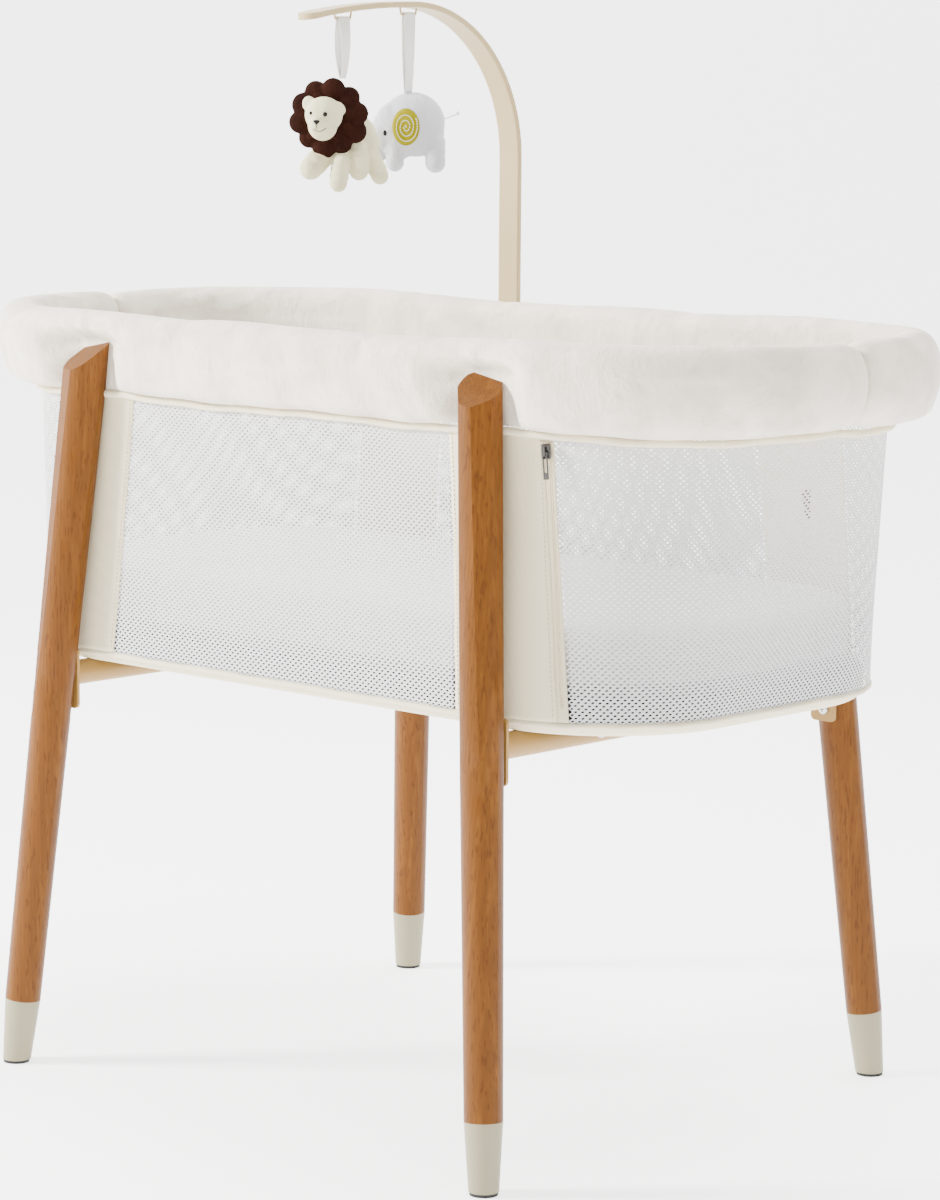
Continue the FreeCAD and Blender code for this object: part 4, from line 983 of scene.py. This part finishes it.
def build_lion():
    """A cream lion with a scalloped dark mane, its paws hanging."""
    rod = arm_underside(LION_Y) - ROD_BELOW_ARM
    matrix = toy_matrix(LION_Y, rod - 51.0)
    head_z = -44.0
    # mane: a thick scalloped ring with a crease between neighbouring petals
    petals, mane_x = 10, -13.0
    sizes = [1.0, 0.95, 1.04, 0.97, 1.06, 0.98, 0.92, 1.05, 0.96, 1.03]
    mane_parts = [((mane_x, 0, head_z), (27, 5.2, 27))]
    for k in range(petals):
        turn = math.radians(k * 360 / petals + 9)
        reach = 27.5 * (1.0 + 0.03 * math.sin(3 * k))
        size = 11.4 * sizes[k]
        mane_parts.append(((mane_x + reach * math.cos(turn), -1.2 + 1.5 * math.sin(2.3 * k),
                            head_z + reach * math.sin(turn)),
                           (size, 4.6, size), (0, -math.degrees(turn), 0)))
        mane_parts.append(((mane_x + 19 * math.cos(turn), -3.0, head_z + 19 * math.sin(turn)),
                           (9.5, 4.2, 6.2), (0, -math.degrees(turn), 0)))
    mane = blob("lion_mane_soft", mane_parts, "mane", "lion", matrix, 1.1, 4)
    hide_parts("lion_mane")
    # head: an egg narrowing to the chin, turned a little to its right
    face_x = -17.5
    head_parts = [((face_x, -12, head_z + 3.0), (18.5, 14, 17.5)),
                  ((face_x - 1, -14, head_z - 7), (14.5, 12, 15.0)),
                  ((face_x - 6.0, -21, head_z - 6), (9.0, 9.0, 8.0)),
                  ((face_x - 7.5, -26, head_z - 4), (5.0, 5.0, 5.0)),
                  ((face_x - 14.5, -9.5, head_z + 13.5), (7.0, 3.2, 7.6), (0, 0, -18)),
                  ((face_x + 15.0, -12.5, head_z + 9.5), (7.5, 3.0, 5.2), (0, 48, 10))]
    head = blob("lion_head_soft", head_parts, "lion", "lion", matrix, 0.9, 5)
    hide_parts("lion_head")
    marks = []
    for x, z, size in ((face_x - 12.0, head_z + 4.6, 1.7), (face_x + 1.8, head_z + 3.6, 2.2)):
        place = surface_point(head, matrix, x, z)
        marks.append((tuple(place), (size, size * 0.7, size * 1.05)))
    nose = surface_point(head, matrix, face_x - 6.3, head_z - 4.0)
    for dx, dz, size in ((-1.5, 0.8, 1.7), (0, 0.9, 1.7), (1.5, 0.8, 1.7), (0, -0.9, 1.5)):
        marks.append(((nose.x + dx, nose.y, nose.z + dz), (size, 1.2, size * 0.85)))
    face = pasted("lion_eyes_nose", marks, "eye", "lion", matrix, head)
    mouth = []
    for k in range(25):
        if k < 5:
            x, z = face_x - 6.3, head_z - 6.2 - 0.9 * k
        else:
            swing = (k - 5) / 19
            x = face_x - 9.5 + 12.0 * swing
            z = head_z - 10.4 - 2.6 * math.sin(swing * math.pi) + 0.8 * swing
        place = surface_point(head, matrix, x, z)
        mouth.append((tuple(place), (0.5, 0.4, 0.42)))
    line = pasted("lion_mouth", mouth, "eye", "lion", matrix, head)
    # body and four hanging limbs
    body_parts = [((8, 21, head_z - 14), (25, 15, 19), (0, 12, 0)),
                  ((20, 20, head_z - 24), (17, 12, 15), (0, 20, 0)),
                  ((-8, 15, head_z - 26), (17, 8, 13))]
    for x, y, half, reach, lean in ((-30, 0, 12.0, 61, 42), (-3.5, -7, 9.4, 72, 7),
                                    (16, 3, 10.2, 61, -3), (36, 9, 9.4, 65, -24)):
        tilt = math.radians(lean)
        for rise, grow in ((0.0, 0.94), (6.0, 1.0), (13.0, 1.0), (20.0, 0.95), (27.0, 0.85)):
            centre = (x + rise * math.sin(tilt), y + rise * 0.4,
                      head_z - reach + half * 1.05 + rise * math.cos(tilt))
            body_parts.append((centre, (half * grow, half * grow * 0.9, half * 1.05 * grow),
                               (0, lean, 0)))
    trunk = blob("lion_body_soft", body_parts, "lion", "lion", matrix, 1.0, 3)
    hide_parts("lion_body")
    return rod


def build_elephant():
    """A plump pale elephant with one felt ear stitched in a spiral."""
    rod = arm_underside(ELEPHANT_Y) - ROD_BELOW_ARM
    matrix = toy_matrix(ELEPHANT_Y, rod - 75.0)
    parts = [((5, 0, -31), (32.0, 15.5, 30.5)), ((8, 0, -40), (28.5, 15, 24)),
             ((-8, 0, -37), (27, 14.5, 29)), ((-24, 0, -42), (14.0, 12, 19)),
             ((-30, 0, -60), (7.5, 8, 13), (0, -4, 0)), ((-12, 0, -56), (15, 12, 13))]
    for x, y, half in ((27.5, -4, 10.2), (27, 6, 10.0), (-12.5, -5, 9.2), (-12.5, 6, 9.0)):
        for z in (-50, -58, -66, -69.5):
            parts.append(((x, y, z), (half, half * 0.8, half)))
    body = blob("elephant_body_soft", parts, "elephant", "elephant", matrix, 1.2, 6)
    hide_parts("elephant_body")
    centre, half_wide, half_tall = (-1.5, -34.5), 13.2, 17.8
    # the ear follows the body's surface
    rings, spokes = 9, 44
    verts = []
    for i in range(rings):
        share = i / (rings - 1)
        for k in range(spokes):
            turn = 2 * math.pi * k / spokes
            x = centre[0] + half_wide * share * math.cos(turn)
            z = centre[1] + half_tall * share * math.sin(turn)
            place = surface_point(body, matrix, x, z)
            lift = 1.5 - 0.9 * smoothstep(0.9, 1.0, share)
            verts.append((x, min(place.y, -9.0) - float(lift), z))
    faces = grid_faces(rings, spokes, True)
    ear = new_object("elephant_ear_felt", verts, faces, "ear", "elephant")
    bpy.context.view_layer.update()
    thicken(ear, 1.4, 0)
    with edit_mesh(ear) as bm:
        bmesh.ops.remove_doubles(bm, verts=bm.verts, dist=0.00002)
        bmesh.ops.recalc_face_normals(bm, faces=bm.faces)
    ear.data.transform(matrix)
    smooth_faces(ear.data)
    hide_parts("elephant_ear")
    stitches = []
    last, angle, spacing = 3.1 * 2 * math.pi, 0.35, 3.1
    wide, tall = 11.6, 15.8
    while angle < last:
        share = angle / last
        x = centre[0] + wide * share * math.cos(angle)
        z = centre[1] + tall * share * math.sin(angle)
        place = surface_point(ear, matrix, x, z)
        slope = math.degrees(math.atan2(tall * math.cos(angle), -wide * math.sin(angle)))
        stitches.append(((x, place.y - 0.15, z), (0.9, 0.4, 0.42), (0, -slope, 0), 10))
        angle += spacing / max(math.hypot(wide, tall) * share, 1.9)
    thread = pasted("ear_stitches", stitches, "stitch", "elephant", matrix, ear)
    place = surface_point(body, matrix, -22.0, -40.5)
    eye = pasted("elephant_eye", [((place.x, place.y + 0.2, place.z), (2.0, 1.1, 2.9))],
                 "eye", "elephant", matrix, body)
    tail = [((36 + 1.0 * k, -2, -26.5 + 0.35 * k), (0.9, 0.6, 0.6)) for k in range(13)]
    tail += [((49.5, -2 + 0.8 * dy, -21.5 + dz), (1.9, 0.5, 0.5), (0, turn, 0))
             for dy, dz, turn in ((-1, 0.6, -35), (1, 0.2, 10), (0, -0.6, 30), (0, 1.4, -60))]
    cord = pasted("elephant_tail", tail, "stitch", "elephant", matrix, body)
    return rod


def build_ribbon(name, y, rod, length, body, node, spread, lean):
    """A flat ribbon over the hanger's rod, both strands sewn together at the toy."""
    wide, thick, radius = 15.0, 0.5, 1.75
    steps, bends = 18, 12
    path = []
    for k in range(steps + 1):
        share = k / steps
        path.append((-radius * share ** 0.5 - spread * math.sin(share * math.pi),
                     -length + share * length))
    for k in range(1, bends):
        turn = math.pi - math.pi * k / bends
        path.append((radius * math.cos(turn), radius * math.sin(turn)))
    for k in range(steps + 1):
        share = 1 - k / steps
        path.append((radius * share ** 0.5 + spread * 0.8 * math.sin(share * math.pi),
                     -length + share * length))
    path = np.array(path)
    columns = 7
    verts = []
    for k, (x, z) in enumerate(path):
        share = min(1.0, -min(z, 0.0) / length)
        for c in range(columns):
            across = (c / (columns - 1) - 0.5) * wide * (1 - 0.12 * share)
            cup = 0.25 * math.cos(c / (columns - 1) * 2 * math.pi)
            twist = math.radians(lean * share)
            px = x + cup
            verts.append((ARM_X + px * math.cos(twist) - across * math.sin(twist),
                          y + px * math.sin(twist) + across * math.cos(twist), rod + z))
    obj = new_object(name, verts, grid_faces(len(path), columns), "ribbon", body)
    thicken(obj, thick, -1.0)
    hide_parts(node)


# ---- everything
load_materials()
build_camera()
build_stage()
paint_frame()
build_walls()
build_zip()
build_welt("welt_base", BASE[0] - 1.0, BASE[1] - 1.0, BASE[2] - 1.0, BASE[3] - 2.65, 2.6,
           "base_piping", lambda s, x, y: 0.35 * np.sin(s / 19.0) + 0.2 * np.sin(s / 7.0))
build_welt("welt_collar", HEM[0] + 3.9, HEM[1] + 3.6, HEM[2] + 3.9, HEM[3] - 3.7, 3.4,
           "collar_piping", hem_wave)
build_collar("collar_front_soft", -1, "collar_front")
build_collar("collar_rear_soft", 1, "collar_rear")
build_liner()
build_mattress()
lion_rod = build_lion()
elephant_rod = build_elephant()
build_ribbon("ribbon_lion", LION_Y, lion_rod, 57.0, "lion", "lion_ribbon", 3.0, 24.0)
build_ribbon("ribbon_elephant", ELEPHANT_Y, elephant_rod, 77.0, "elephant", "elephant_ribbon",
             0.8, 14.0)

bpy.context.view_layer.update()
